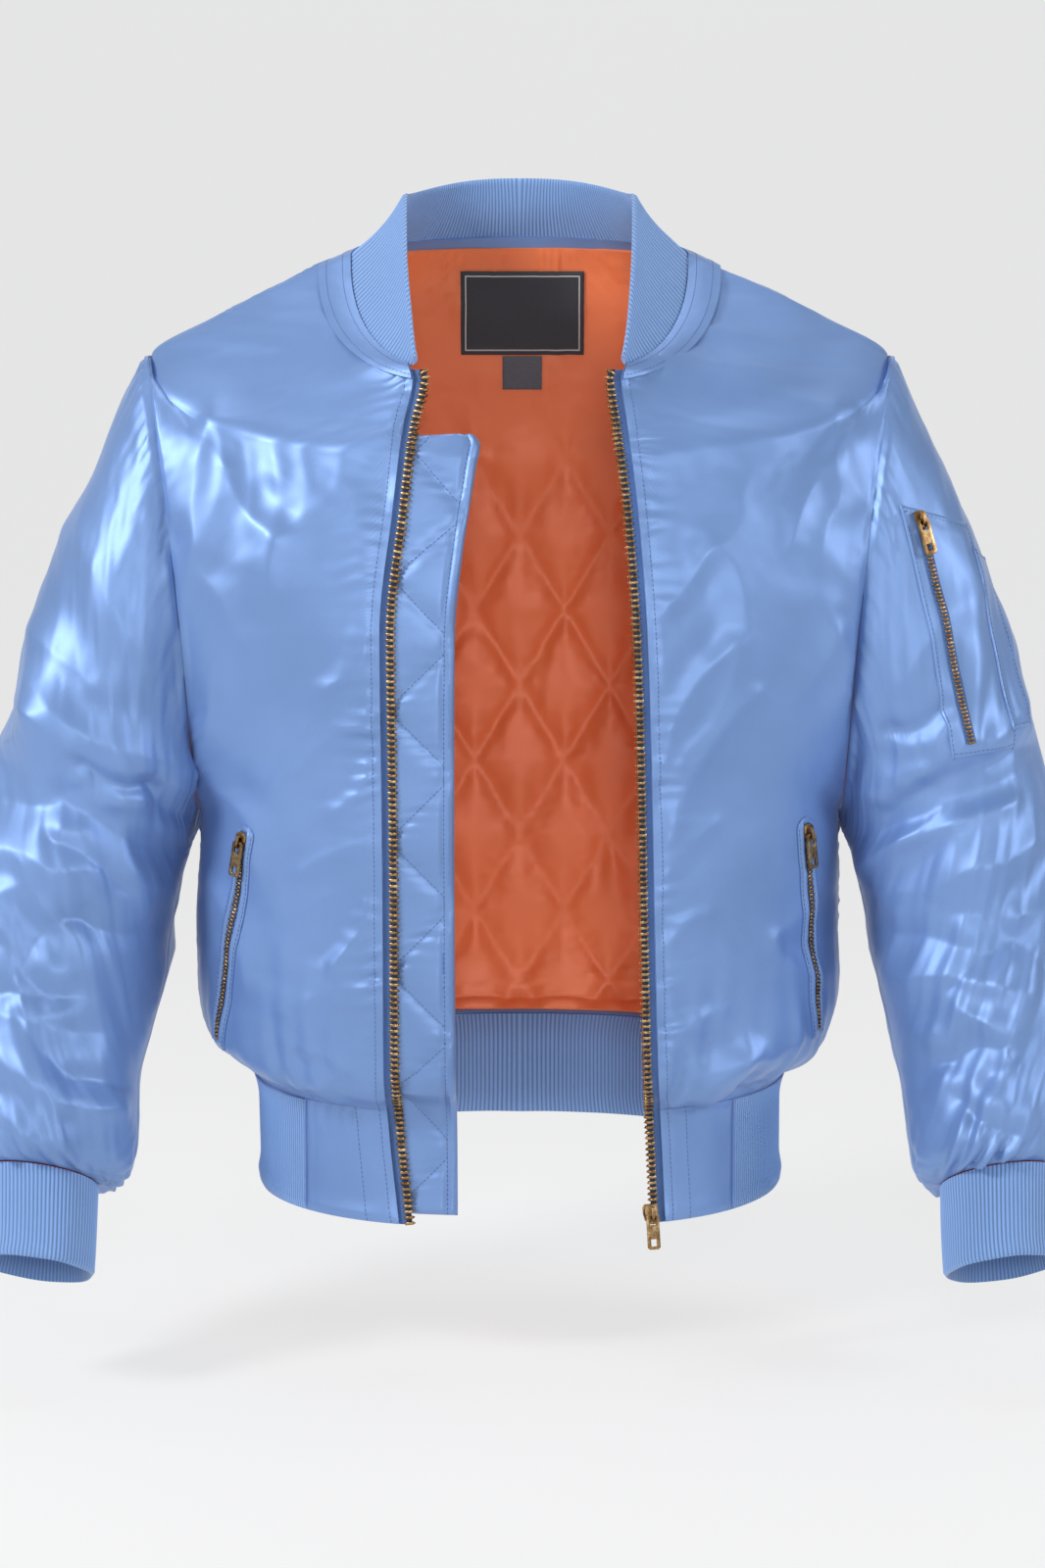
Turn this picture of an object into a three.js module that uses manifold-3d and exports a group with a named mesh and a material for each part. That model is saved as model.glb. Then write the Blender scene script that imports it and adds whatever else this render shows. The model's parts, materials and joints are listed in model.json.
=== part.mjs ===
// Bomber jacket, worn open with nobody in it: satin shell, quilted lining, rib-knit collar, cuffs and hem,
// metal zips. Millimetres, +Z up. The origin is midway between the two neck points, where the shoulder seams
// meet the collar. The front faces -Y and the wearer's left is +X. Each cloth piece is a closed wall whose
// sections are worked out from the tables below.
import * as THREE from "three";
import Module from "manifold-3d";
import { mergeVertices } from "three/addons/utils/BufferGeometryUtils.js";

const wasm = await Module();
wasm.setup();

// Cloth and seams
const SEAM = 0.3;            // between two pieces that are sewn together
const SHELL = 2.2;           // satin with its wadding
const RIB_WALL = 2.6;        // rib knit, between two ribs
const RIB_RISE = 0.8;        // how far a rib stands out
const LINING = 2.4;          // lining along a quilting line
const PUFF = 5;              // how far a quilted diamond swells
const TRIM = 1.1;            // a welt, patch or binding
const LAID = 0.45;           // between a panel and what is laid on it

// Levels of the body, from the hem's lower edge (HEM) through the hem seam (0) to the neck seam (1)
const HEM = -0.16;
const ARMPIT = 0.38;
const TIP = 0.86;            // where the shoulder seam meets the sleeve
const BODY = [
  { v: HEM, zFront: -672, zSide: -655, zBack: -632, half: 189, front: 106, back: 103, square: 2.2, cy: 0 },
  { v: -0.12, zFront: -652, zSide: -636, zBack: -614, half: 186, front: 103, back: 100, square: 2.2, cy: 0 },
  { v: -0.04, zFront: -612, zSide: -597, zBack: -577, half: 186, front: 104, back: 100, square: 2.2, cy: 0 },
  { v: 0, zFront: -592, zSide: -578, zBack: -559, half: 190, front: 109, back: 104, square: 2.2, cy: 0 },
  { v: 0.03, zFront: -581, zSide: -567, zBack: -551, half: 206, front: 119, back: 113, square: 2.25, cy: 0 },
  { v: 0.07, zFront: -562, zSide: -550, zBack: -537, half: 220, front: 126, back: 120, square: 2.3, cy: 0 },
  { v: 0.13, zFront: -530, zSide: -522, zBack: -512, half: 228, front: 129, back: 123, square: 2.3, cy: 0 },
  { v: 0.25, zFront: -465, zSide: -462, zBack: -458, half: 229, front: 128, back: 122, square: 2.3, cy: 0 },
  { v: ARMPIT, zFront: -388, zSide: -392, zBack: -392, half: 228, front: 130, back: 124, square: 2.3, cy: 0 },
  { v: 0.5, zFront: -322, zSide: -330, zBack: -330, half: 228, front: 133, back: 127, square: 2.3, cy: 0 },
  { v: 0.62, zFront: -257, zSide: -230, zBack: -262, half: 240, front: 132, back: 129, square: 2.3, cy: 0 },
  { v: 0.74, zFront: -198, zSide: -140, zBack: -185, half: 252, front: 125, back: 125, square: 2.3, cy: 0 },
  { v: TIP, zFront: -142, zSide: -71, zBack: -90, half: 260, front: 113, back: 110, square: 2.25, cy: 0 },
  { v: 0.91, zFront: -120, zSide: -43, zBack: -50, half: 216, front: 110, back: 96, square: 2.15, cy: 7 },
  { v: 0.96, zFront: -98, zSide: -18, zBack: -12, half: 164, front: 113, back: 80, square: 2.05, cy: 13 },
  { v: 1, zFront: -79, zSide: 0, zBack: 18, half: 118, front: 126, back: 60, square: 2, cy: 18 },
];
const FRONT_RISE = 1.7;      // how late a row climbs from the zip to the shoulder

// Armhole: an oval that leans out at the top and bows in at mid-height
const ARM_LOW = { x: 228, z: -392 };
const ARM_TOP = { x: 260, z: -71 };
const ARM_DEPTH = 84;
const ARM_BOW = 8;

// The two rows of teeth seen from the front: distance from the middle at each height
const TEETH = [
  { z: -672, right: 77, left: 95 },
  { z: -612, right: 83.5, left: 92 },
  { z: -560, right: 86.5, left: 88.5 },
  { z: -455, right: 86.5, left: 85.5 },
  { z: -353, right: 87, left: 83 },
  { z: -262, right: 87.5, left: 79.5 },
  { z: -180, right: 79, left: 73.5 },
  { z: -120, right: 72, left: 66.5 },
  { z: -88, right: 66, left: 63 },
  { z: -79, right: 69, left: 66 },
];
const TAPE_REACH = 7;        // from the teeth to the folded edge of the front
const TAPE_UNDER = 13;       // from the teeth to the tape's hidden edge
const TAPE = 1;
const TAPE_SINK = 3.5;       // tape's face below the front's face
const TOOTH = 1.8;           // half the width, and half the thickness, of a row of teeth
const HEM_PANEL = 150;       // where the hem's satin ends meet its rib

// Wind flap behind the right-hand teeth: where its free edge runs
const FLAP_EDGE = [
  { z: -660, x: 44 },
  { z: -400, x: 45 },
  { z: -262, x: 44 },
  { z: -200, x: 38 },
  { z: -155, x: 31 },
  { z: -120, x: 25 },
];
const FLAP_TOP = 0.905;
const FLAP_END = -0.145;
const FLAP_SINK = 7;
const FLAP = 3.2;
const FLAP_PUFF = 1.4;

// Sleeve rings from the armhole to the cuff seam: the outer and inner point of each ring seen from the front,
// how far forward its middle lies, its half depth and how far its plane is tipped up at the front
const SLEEVE = [
  { t: 0, outX: 260, outZ: -71, inX: 228, inZ: -392, midY: 0, depth: 84, tip: 0, bow: 8 },
  { t: 0.04, outX: 273, outZ: -93, inX: 230.5, inZ: -401, midY: -1, depth: 88, tip: 0, bow: 6 },
  { t: 0.1, outX: 291, outZ: -130, inX: 232, inZ: -409, midY: -3, depth: 91, tip: 1, bow: 3 },
  { t: 0.2, outX: 319, outZ: -194, inX: 236, inZ: -422, midY: -7, depth: 91, tip: 3, bow: 0 },
  { t: 0.3, outX: 342, outZ: -252, inX: 241, inZ: -440, midY: -11, depth: 89, tip: 6, bow: 0 },
  { t: 0.4, outX: 358, outZ: -310, inX: 246, inZ: -462, midY: -16, depth: 86, tip: 9, bow: 0 },
  { t: 0.5, outX: 372, outZ: -368, inX: 250, inZ: -488, midY: -24, depth: 83, tip: 12, bow: 0 },
  { t: 0.6, outX: 382, outZ: -426, inX: 255, inZ: -516, midY: -38, depth: 79, tip: 16, bow: 0 },
  { t: 0.7, outX: 386, outZ: -484, inX: 262, inZ: -546, midY: -56, depth: 74, tip: 20, bow: 0 },
  { t: 0.8, outX: 386, outZ: -540, inX: 267, inZ: -578, midY: -78, depth: 68, tip: 23, bow: 0 },
  { t: 0.88, outX: 384, outZ: -584, inX: 268, inZ: -606, midY: -98, depth: 62, tip: 25, bow: 0 },
  { t: 0.94, outX: 381, outZ: -612, inX: 271, inZ: -626, midY: -111, depth: 57, tip: 26, bow: 0 },
  { t: 0.97, outX: 376, outZ: -623, inX: 278, inZ: -636, midY: -116, depth: 51, tip: 27, bow: 0 },
  { t: 1, outX: 369, outZ: -629, inX: 290, inZ: -639, midY: -119, depth: 41, tip: 27, bow: 0 },
];
const CUFF = [
  { t: 0, outX: 369, outZ: -629, inX: 290, inZ: -639, midY: -119, depth: 41, tip: 27, bow: 0 },
  { t: 0.2, outX: 368, outZ: -640, inX: 290, inZ: -650, midY: -125, depth: 39, tip: 27, bow: 0 },
  { t: 0.8, outX: 366, outZ: -675, inX: 290, inZ: -684, midY: -142, depth: 38, tip: 27, bow: 0 },
  { t: 1, outX: 367, outZ: -686, inX: 290, inZ: -695, midY: -148, depth: 39, tip: 27, bow: 0 },
];

// Collar's free edge: at the side of the neck, behind it and at its front end
const COLLAR_SIDE = { x: 80, y: 6, z: 43 };
const COLLAR_BACK = { y: 60, z: 57 };
const COLLAR_END = { x: 72, y: -87, z: -73 };
const COLLAR_WAIST = 0.07;   // how far the collar's middle is drawn in, as a share of its width there
const COLLAR_GAP = 0.6;      // above the neck seam, where the walls meet at an angle

// Largest folds, as soft ridges (rise above 0) and troughs, from one end to the other as seen from the front
// or from behind. Width is where the fold has fallen to a third.
const FRONT_FOLDS = [
  { side: -1, x1: 205, z1: -545, x2: 138, z2: -574, width: 12, rise: 4 },
  { side: -1, x1: 200, z1: -566, x2: 150, z2: -585, width: 8, rise: -2.5 },
  { side: -1, x1: 212, z1: -120, x2: 222, z2: -200, width: 12, rise: 3 },
  { side: 1, x1: 184, z1: -545, x2: 158, z2: -552, width: 13, rise: 4.5 },
  { side: 1, x1: 158, z1: -552, x2: 132, z2: -580, width: 11, rise: 4.5 },
  { side: 1, x1: 148, z1: -270, x2: 108, z2: -350, width: 13, rise: 3 },
  { side: 1, x1: 218, z1: -115, x2: 210, z2: -200, width: 12, rise: 3 },
];
const BACK_FOLDS = [
  { side: -1, x1: 190, z1: -380, x2: 90, z2: -455, width: 18, rise: 4 },
  { side: 1, x1: 195, z1: -360, x2: 95, z2: -430, width: 18, rise: 4 },
  { side: -1, x1: 60, z1: -470, x2: -70, z2: -505, width: 16, rise: 3.5 },
  { side: -1, x1: 175, z1: -530, x2: 60, z2: -525, width: 14, rise: 4 },
  { side: 1, x1: 170, z1: -525, x2: 70, z2: -535, width: 14, rise: 4 },
];
const RIGHT_SLEEVE_FOLDS = [
  { x1: 380, z1: -376, x2: 312, z2: -372, width: 15, rise: -6 },
  { x1: 312, z1: -372, x2: 235, z2: -418, width: 15, rise: -6 },
  { x1: 331, z1: -318, x2: 240, z2: -364, width: 18, rise: 6 },
  { x1: 370, z1: -412, x2: 262, z2: -442, width: 18, rise: 6 },
  { x1: 303, z1: -450, x2: 349, z2: -497, width: 14, rise: -4.5 },
  { x1: 385, z1: -516, x2: 300, z2: -528, width: 14, rise: -4.5 },
  { x1: 350, z1: -548, x2: 280, z2: -584, width: 13, rise: 5 },
];
const LEFT_SLEEVE_FOLDS = [
  { x1: 257, z1: -400, x2: 312, z2: -372, width: 15, rise: -6 },
  { x1: 312, z1: -372, x2: 380, z2: -346, width: 15, rise: -6 },
  { x1: 250, z1: -345, x2: 268, z2: -338, width: 14, rise: -4 },
  { x1: 258, z1: -440, x2: 345, z2: -402, width: 18, rise: 6 },
  { x1: 292, z1: -446, x2: 366, z2: -490, width: 15, rise: -5 },
  { x1: 268, z1: -500, x2: 335, z2: -505, width: 16, rise: 5 },
  { x1: 278, z1: -588, x2: 335, z2: -552, width: 14, rise: -5 },
];
const SLEEVE_BACK_FOLDS = [
  { x1: 245, z1: -405, x2: 350, z2: -345, width: 20, rise: 6 },
  { x1: 250, z1: -440, x2: 370, z2: -400, width: 18, rise: -5 },
  { x1: 262, z1: -490, x2: 380, z2: -455, width: 20, rise: 6 },
  { x1: 275, z1: -560, x2: 375, z2: -530, width: 18, rise: 5 },
];

// Lining: diamonds of this width and height, with one crossing in the middle of the back at this height
const DIAMOND = { width: 68, height: 112, level: -312 };
const QUILT_FROM = -105;     // the neck stays smooth above this
const QUILT_FULL = -165;
const LABEL = { x: 2, z: -38, width: 90, height: 60, thick: 0.8 };
const TAG = { x: 2, z: -81, width: 29, height: 24, thick: 0.7 };

// Pocket zips: the slider's middle and the chain's end
const POCKETS = [
  { side: -1, name: "right", top: { x: 76, z: -405 }, end: { x: 106, z: -548 } },
  { side: 1, name: "left", top: { x: 86, z: -400 }, end: { x: 105, z: -540 } },
];
const POCKET_YAW = 45;       // pockets are placed as seen from this far round to their side, in degrees
const WELT = { width: 17, above: 11, below: 7 };
const CHAIN = { width: 5.2, thick: 1.6 };
const SLEEVE_YAW = 20;
const SLEEVE_ZIP = { top: { x: 230, z: -184 }, end: { x: 255, z: -336 } };

// Patches on the left sleeve, seen from its own side: top corners, then bottom corners
const SLEEVE_PATCH = [{ x: 217, z: -174 }, { x: 274, z: -188 }, { x: 244, z: -347 }, { x: 295, z: -341 }];
const PEN_PATCH = [{ x: 273, z: -204 }, { x: 295, z: -212 }, { x: 289, z: -328 }, { x: 310, z: -326 }];

// Zip slider and pull tab, in their own frame: x across the zip, y down it, z out of the cloth
const SLIDER = { length: 12, top: 8.8, bottom: 6.6, plate: 1.2 };
const BRIDGE = { length: 8.4, width: 2, window: 5.2, low: 1.6, high: 4.2, rise: 5.4 };
const PULL = { width: 9, length: 25, thick: 1.6, bar: 1.8, slot: 4.6, slotLong: 6.2, eye: 4.2, eyeLong: 5 };
const PULL_SEAT = { y: 1.2, z: 2.9 };
const MAIN_SLIDER_LEVEL = -0.146;
const MAIN_SLIDER_SHIFT = 2.6;   // the open zip's teeth run in one of the slider's two channels
const CHANNEL_GAP = 0.35;        // more room round the teeth where the front bends
const WEDGE = { width: 1, length: 4 };

const BLUE = { color: 0x7699d4, roughness: 0.38, metalness: 0 };
const RIB_BLUE = { color: 0x6f93cf, roughness: 0.85, metalness: 0 };
const ORANGE = { color: 0xf07341, roughness: 0.42, metalness: 0 };
const TAPE_BLUE = { color: 0x4f74b4, roughness: 0.8, metalness: 0 };
const BRASS = { color: 0x96734b, roughness: 0.35, metalness: 1 };
const CHARCOAL = { color: 0x3a3c42, roughness: 0.75, metalness: 0 };
const GREY = { color: 0x555a62, roughness: 0.7, metalness: 0 };

const { lerp, clamp, smoothstep } = THREE.MathUtils;
const jacket = new THREE.Group();
jacket.name = "bomber_jacket";

function add(name, geometry, finish) {
  const mesh = new THREE.Mesh(geometry, new THREE.MeshStandardMaterial(finish));
  mesh.name = name;
  jacket.add(mesh);
  return mesh;
}

// One smooth curve for each column of a table, through its rows, never swinging past them
function curves(table, key) {
  const rows = [...table].sort((a, b) => a[key] - b[key]);
  const at = rows.map((row) => row[key]);
  const made = {};
  for (const column of Object.keys(rows[0]).filter((name) => name !== key)) {
    const y = rows.map((row) => row[column]);
    const rate = at.slice(1).map((x, i) => (y[i + 1] - y[i]) / (x - at[i]));
    const slope = at.map((_, i) => {
      if (i === 0) return rate[0];
      if (i === at.length - 1) return rate[i - 1];
      return rate[i - 1] * rate[i] <= 0 ? 0 : (2 * rate[i - 1] * rate[i]) / (rate[i - 1] + rate[i]);
    });
    made[column] = (x) => {
      let i = 0;
      while (i < at.length - 2 && x > at[i + 1]) i += 1;
      const h = at[i + 1] - at[i];
      const s = clamp((x - at[i]) / h, 0, 1);
      const s2 = s * s;
      const s3 = s2 * s;
      return (2 * s3 - 3 * s2 + 1) * y[i] + (s3 - 2 * s2 + s) * h * slope[i]
        + (3 * s2 - 2 * s3) * y[i + 1] + (s3 - s2) * h * slope[i + 1];
    };
  }
  return made;
}

const body = curves(BODY, "v");
const teeth = curves(TEETH, "z");
const flapEdge = curves(FLAP_EDGE, "z");

// Armhole's point at a turn from 0 at the underarm to pi at the shoulder
function armhole(turn) {
  const climb = (1 - Math.cos(turn)) / 2;
  return {
    x: lerp(ARM_LOW.x, ARM_TOP.x, climb) - ARM_BOW * Math.sin(turn) ** 2,
    y: ARM_DEPTH * Math.sin(turn),
    z: lerp(ARM_LOW.z, ARM_TOP.z, climb),
  };
}

// Where a body row ends at the side: on the side seam, the armhole or the shoulder seam
function sideEnd(v) {
  if (v > ARMPIT && v < TIP) return armhole((Math.PI * (v - ARMPIT)) / (TIP - ARMPIT));
  return { x: body.half(v), y: 0, z: body.zSide(v) };
}

// A body row's section, in front or behind: a squared ellipse through its side end
function section(v, behind) {
  const end = sideEnd(v);
  const square = body.square(v);
  const depth = behind ? body.back(v) : body.front(v);
  const half = end.x / (1 - (end.y / depth) ** square) ** (1 / square);
  const angleAt = (x) => Math.asin(Math.min(1, Math.abs(x) / half) ** (square / 2));
  return { end, square, depth, half, angleAt, last: angleAt(end.x) };
}

// Body's outer face. The angle is 0 at the middle of the front or back and grows towards the side.
function torso(v, angle, behind) {
  const row = section(v, behind);
  const turn = Math.min(Math.abs(angle), Math.PI / 2);
  const power = 2 / row.square;
  const x = Math.sign(angle) * row.half * Math.sin(turn) ** power;
  const y = row.depth * Math.max(0, Math.cos(turn)) ** power;
  const first = behind ? 0 : row.angleAt(TEETH.at(-1).left);
  const share = clamp((turn - first) / (row.last - first), 0, 1);
  const z = behind
    ? lerp(body.zBack(v), row.end.z, share ** 2)
    : lerp(body.zFront(v), row.end.z, share ** FRONT_RISE);
  const clear = y + SEAM / 2;
  return new THREE.Vector3(x, body.cy(v) + (behind ? clear : -clear), z);
}

function foldRise(folds, x, z) {
  return folds.reduce((sum, fold) => {
    const length = Math.hypot(fold.x2 - fold.x1, fold.z2 - fold.z1);
    const along = ((x - fold.x1) * (fold.x2 - fold.x1) + (z - fold.z1) * (fold.z2 - fold.z1)) / length ** 2;
    const near = clamp(along, 0, 1);
    const away = Math.hypot(x - lerp(fold.x1, fold.x2, near), z - lerp(fold.z1, fold.z2, near));
    return sum + fold.rise * Math.exp(-((away / fold.width) ** 2));
  }, 0);
}

// A surface is a point for each pair (u, v), with its outward normal. The guide is a point inside it, and
// mitre turns the normal into a seam's plane, so that the two walls meet face to face.
function surface(point, guide, mitre = (normal) => normal) {
  const step = 1e-3;
  const cross = (u, v) => {
    const [u0, u1] = [Math.max(0, u - step), Math.min(1, u + step)];
    const across = point(u1, v).sub(point(u0, v));
    const along = point(u, v + step).sub(point(u, v - step));
    return across.cross(along).normalize();
  };
  const outward = Math.sign(cross(0.5, 0.5).dot(point(0.5, 0.5).sub(guide)));
  const normal = (u, v) => mitre(cross(u, v).multiplyScalar(outward), u, v).normalize();
  const lifted = (u, v, lift) => point(u, v).addScaledVector(normal(u, v), lift);
  return { point, normal, lifted };
}

function folded(base, folds) {
  const point = (u, v) => base.lifted(u, v, folds(base.point(u, v), base.normal(u, v)));
  const lifted = (u, v, lift) => point(u, v).addScaledVector(base.normal(u, v), lift);
  return { point, normal: base.normal, lifted };
}

const steps = (count, from = 0, to = 1) =>
  Array.from({ length: count + 1 }, (_, i) => lerp(from, to, i / count));
const grid = (us, vs, point) => vs.map((v, i) => us.map((u, j) => point(u, v, j, i)));

// A closed solid from an outer and an inner grid of points, whose counts may differ. Around means that the
// columns close into a tube.
function wall(outer, inner, { around = false, turnDiagonal = () => false } = {}) {
  const points = [];
  const triangles = [];
  const number = (rows) => rows.map((row) => {
    const indices = row.map((point) => points.push(point) - 1);
    return around ? [...indices, indices[0]] : indices;
  });
  const face = (rows, reverse) => {
    for (let i = 0; i < rows.length - 1; i += 1) {
      for (let j = 0; j < rows[i].length - 1; j += 1) {
        const [a, b, c, d] = [rows[i][j], rows[i + 1][j], rows[i + 1][j + 1], rows[i][j + 1]];
        const pair = turnDiagonal(i, j) ? [[a, b, d], [b, c, d]] : [[a, b, c], [a, c, d]];
        triangles.push(...(reverse ? pair.map((corner) => corner.reverse()) : pair));
      }
    }
  };
  const stitch = (one, two) => {
    let [i, j] = [0, 0];
    while (i < one.length - 1 || j < two.length - 1) {
      if ((i + 1) / (one.length - 1) <= (j + 1) / (two.length - 1)) {
        triangles.push([one[i], one[i + 1], two[j]]);
        i += 1;
      } else {
        triangles.push([one[i], two[j + 1], two[j]]);
        j += 1;
      }
    }
  };
  const [a, b] = [number(outer), number(inner)];
  face(a, false);
  face(b, true);
  stitch(a[0], b[0]);
  stitch(a.at(-1).toReversed(), b.at(-1).toReversed());
  if (!around) {
    const edge = (rows, column) => rows.map((row) => row.at(column));
    stitch(edge(a, 0).reverse(), edge(b, 0).reverse());
    stitch(edge(a, -1), edge(b, -1));
  }
  return closed(points, triangles);
}

function closed(points, triangles) {
  const volume = triangles.reduce((sum, [a, b, c]) =>
    sum + points[a].dot(points[b].clone().cross(points[c])), 0);
  const index = volume < 0 ? triangles.flatMap(([a, b, c]) => [a, c, b]) : triangles.flat();
  const geometry = new THREE.BufferGeometry().setFromPoints(points);
  geometry.setIndex(index);
  geometry.computeVertexNormals();
  return geometry;
}

// Body panels
const LEVELS = [0, 0.03, 0.07, 0.13, 0.2, 0.29, ARMPIT, 0.42, 0.48, 0.55, 0.62, 0.69, 0.76, 0.82, TIP, 0.91,
  0.955, 0.978, 1];
const MIDDLE = new THREE.Vector3(0, 0, -330);

const onSeam = (v) => v <= ARMPIT || v >= TIP;
const across = (side, v, x) => section(v, false).angleAt(x) * side;

// A strip of the front between two distances from the middle, given for each level
function frontStrip(side, from, to) {
  return surface((u, v) => {
    const a = across(side, v, from(v));
    const b = to(v) === Infinity ? section(v, false).last * side : across(side, v, to(v));
    return torso(v, lerp(a, b, u), false);
  }, MIDDLE, (normal, u, v) => (u === 1 && to(v) === Infinity && onSeam(v) ? normal.setY(0) : normal));
}

const teethAt = (side, v) => teeth[side < 0 ? "right" : "left"](body.zFront(v));
const frontEdge = (side) => (v) => teethAt(side, v) + TAPE_REACH;

function frontPanel(side) {
  const base = frontStrip(side, frontEdge(side), () => Infinity);
  const own = FRONT_FOLDS.filter((fold) => fold.side === side);
  return folded(base, (point) => foldRise(own, side * point.x, point.z));
}

function plainWall(skin, us, vs, thick) {
  return wall(grid(us, vs, (u, v) => skin.point(u, v)), grid(us, vs, (u, v) => skin.lifted(u, v, -thick)));
}

const fronts = {};
for (const [side, name] of [[-1, "right"], [1, "left"]]) {
  const skin = frontPanel(side);
  const mesh = add(`front_${name}`, plainWall(skin, steps(12), LEVELS, SHELL), BLUE);
  fronts[name] = { side, skin, mesh };
}

const backBase = surface((u, v) => {
  const last = section(v, true).last;
  return torso(v, lerp(-last, last, u), true);
}, MIDDLE, (normal, u, v) => ((u === 0 || u === 1) && onSeam(v) ? normal.setY(0) : normal));
const backFolds = BACK_FOLDS.map((fold) => ({ ...fold, x1: fold.side * fold.x1, x2: fold.side * fold.x2 }));
const backSkin = folded(backBase, (point) => foldRise(backFolds, point.x, point.z));
add("back", plainWall(backSkin, steps(20), LEVELS, SHELL), BLUE);

// Hem: two satin ends beside the zip, and a rib-knit strip from one to the other round the back
const HEM_LEVELS = [HEM, -0.12, -0.08, -0.04, -0.0006];
const HEM_RIBS = 56;
const hemEnd = () => HEM_PANEL - SEAM / 2;
for (const [side, name] of [[-1, "right"], [1, "left"]]) {
  const skin = frontStrip(side, frontEdge(side), hemEnd);
  add(`hem_panel_${name}`, plainWall(skin, steps(5), HEM_LEVELS, SHELL), BLUE);
}

// Round the body at a level: the turn starts in the middle of the front and grows past the wearer's right
function roundBody(v, turn) {
  const side = turn < Math.PI ? -1 : 1;
  const half = side < 0 ? turn : 2 * Math.PI - turn;
  return half < Math.PI / 2 ? torso(v, side * half, false) : torso(v, side * (Math.PI - half), true);
}
const roundFrom = (start, u) => lerp(start, 2 * Math.PI - start, u);
const hemRing = surface((u, v) =>
  roundBody(v, roundFrom(section(v, false).angleAt(HEM_PANEL + SEAM / 2), u)), new THREE.Vector3(0, 0, -620));

// A rib-knit wall: every other column stands out on the outer face, over a plain inside
function ribWall(skin, ribs, levels, around = false) {
  const us = steps(2 * ribs).slice(0, around ? -1 : undefined);
  const inside = around ? us.filter((_, i) => i % 2 === 0) : steps(ribs / 2);
  const outer = grid(us, levels, (u, v, column) => skin.lifted(u, v, column % 2 ? RIB_RISE : 0));
  const inner = grid(inside, levels, (u, v) => skin.lifted(u, v, -RIB_WALL));
  return wall(outer, inner, { around });
}
add("hem_rib", ribWall(hemRing, HEM_RIBS, HEM_LEVELS), RIB_BLUE);

// Sleeves and cuffs: rings through each table row, turned from the outer side (0) to the front (a quarter)
function tube(table, side, mitre) {
  const ring = curves(table, "t");
  const point = (u, t) => {
    const turn = 2 * Math.PI * u;
    const [upX, upZ] = [(ring.outX(t) - ring.inX(t)) / 2, (ring.outZ(t) - ring.inZ(t)) / 2];
    const tip = THREE.MathUtils.degToRad(ring.tip(t));
    const forward = ring.depth(t) * Math.sin(turn);
    const x = ring.inX(t) + upX * (1 + Math.cos(turn)) - ring.bow(t) * Math.sin(turn) ** 2;
    const y = ring.midY(t) - forward * Math.cos(tip);
    const z = ring.inZ(t) + upZ * (1 + Math.cos(turn)) + forward * Math.sin(tip);
    return new THREE.Vector3(side * x, y, z);
  };
  const middle = point(0.25, 0.5).add(point(0.75, 0.5)).multiplyScalar(0.5);
  return surface(point, middle, mitre);
}
const SLEEVE_START = 0.004;      // its first ring, a seam's gap away from the body
const armholeMitre = (normal, u, t) => (t <= SLEEVE_START ? normal.setX(0) : normal);

const SLEEVE_STEPS = [SLEEVE_START, 0.04, 0.09, 0.15, 0.22, 0.28, 0.33, 0.38, 0.43, 0.48, 0.54, 0.6, 0.66, 0.73,
  0.8, 0.86, 0.91, 0.95, 0.98, 1];
const CUFF_RIBS = 24;
const sleeves = {};
for (const [side, name, folds] of [[-1, "right", RIGHT_SLEEVE_FOLDS], [1, "left", LEFT_SLEEVE_FOLDS]]) {
  const skin = folded(tube(SLEEVE, side, armholeMitre), (point, normal) => {
    const seen = normal.y < 0 ? folds : SLEEVE_BACK_FOLDS;
    return foldRise(seen, side * point.x, point.z) * smoothstep(Math.abs(normal.y), 0, 0.5);
  });
  const columns = steps(20).slice(0, -1);
  const outer = grid(columns, SLEEVE_STEPS, (u, t) => skin.point(u, t));
  const inner = grid(columns, SLEEVE_STEPS, (u, t) => skin.lifted(u, t, -SHELL));
  const mesh = add(`sleeve_${name}`, wall(outer, inner, { around: true }), BLUE);
  sleeves[name] = { side, skin, mesh };
  add(`cuff_${name}`, ribWall(tube(CUFF, side), CUFF_RIBS, [0.006, 0.35, 0.7, 1], true), RIB_BLUE);
}

// Collar: a rib-knit crescent from one zip top round the neck to the other. Its seam is the body's last row.
const COLLAR_RIBS = 50;
const collarStart = section(1, false).angleAt(COLLAR_END.x);
function collarEdge(turn) {
  const side = turn < Math.PI ? -1 : 1;
  const half = side < 0 ? turn : 2 * Math.PI - turn;
  if (half < Math.PI / 2) {
    const s = (Math.PI / 2 - half) / (Math.PI / 2 - collarStart);
    return new THREE.Vector3(
      side * lerp(COLLAR_SIDE.x, COLLAR_END.x, s ** 2),
      lerp(COLLAR_SIDE.y, COLLAR_END.y, s),
      lerp(COLLAR_SIDE.z, COLLAR_END.z, s ** 1.15),
    );
  }
  const q = half - Math.PI / 2;
  return new THREE.Vector3(
    side * COLLAR_SIDE.x * Math.max(0, Math.cos(q)) ** 0.8,
    lerp(COLLAR_SIDE.y, COLLAR_BACK.y, Math.sin(q) ** 0.9),
    lerp(COLLAR_SIDE.z, COLLAR_BACK.z, Math.sin(q) ** 2),
  );
}
const collarSkin = surface((u, r) => {
  const turn = roundFrom(collarStart, u);
  const edge = collarEdge(turn);
  const rise = edge.clone().sub(roundBody(1, turn));
  const start = edge.clone().addScaledVector(rise, -1 + COLLAR_GAP / rise.length());
  const inward = new THREE.Vector3(-edge.x, -edge.y, 0).normalize();
  return start.lerp(edge, r).addScaledVector(inward, COLLAR_WAIST * rise.length() * Math.sin(Math.PI * r));
}, new THREE.Vector3(0, 10, -40));
add("collar", ribWall(collarSkin, COLLAR_RIBS, [0, 0.3, 0.65, 1]), RIB_BLUE);

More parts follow.
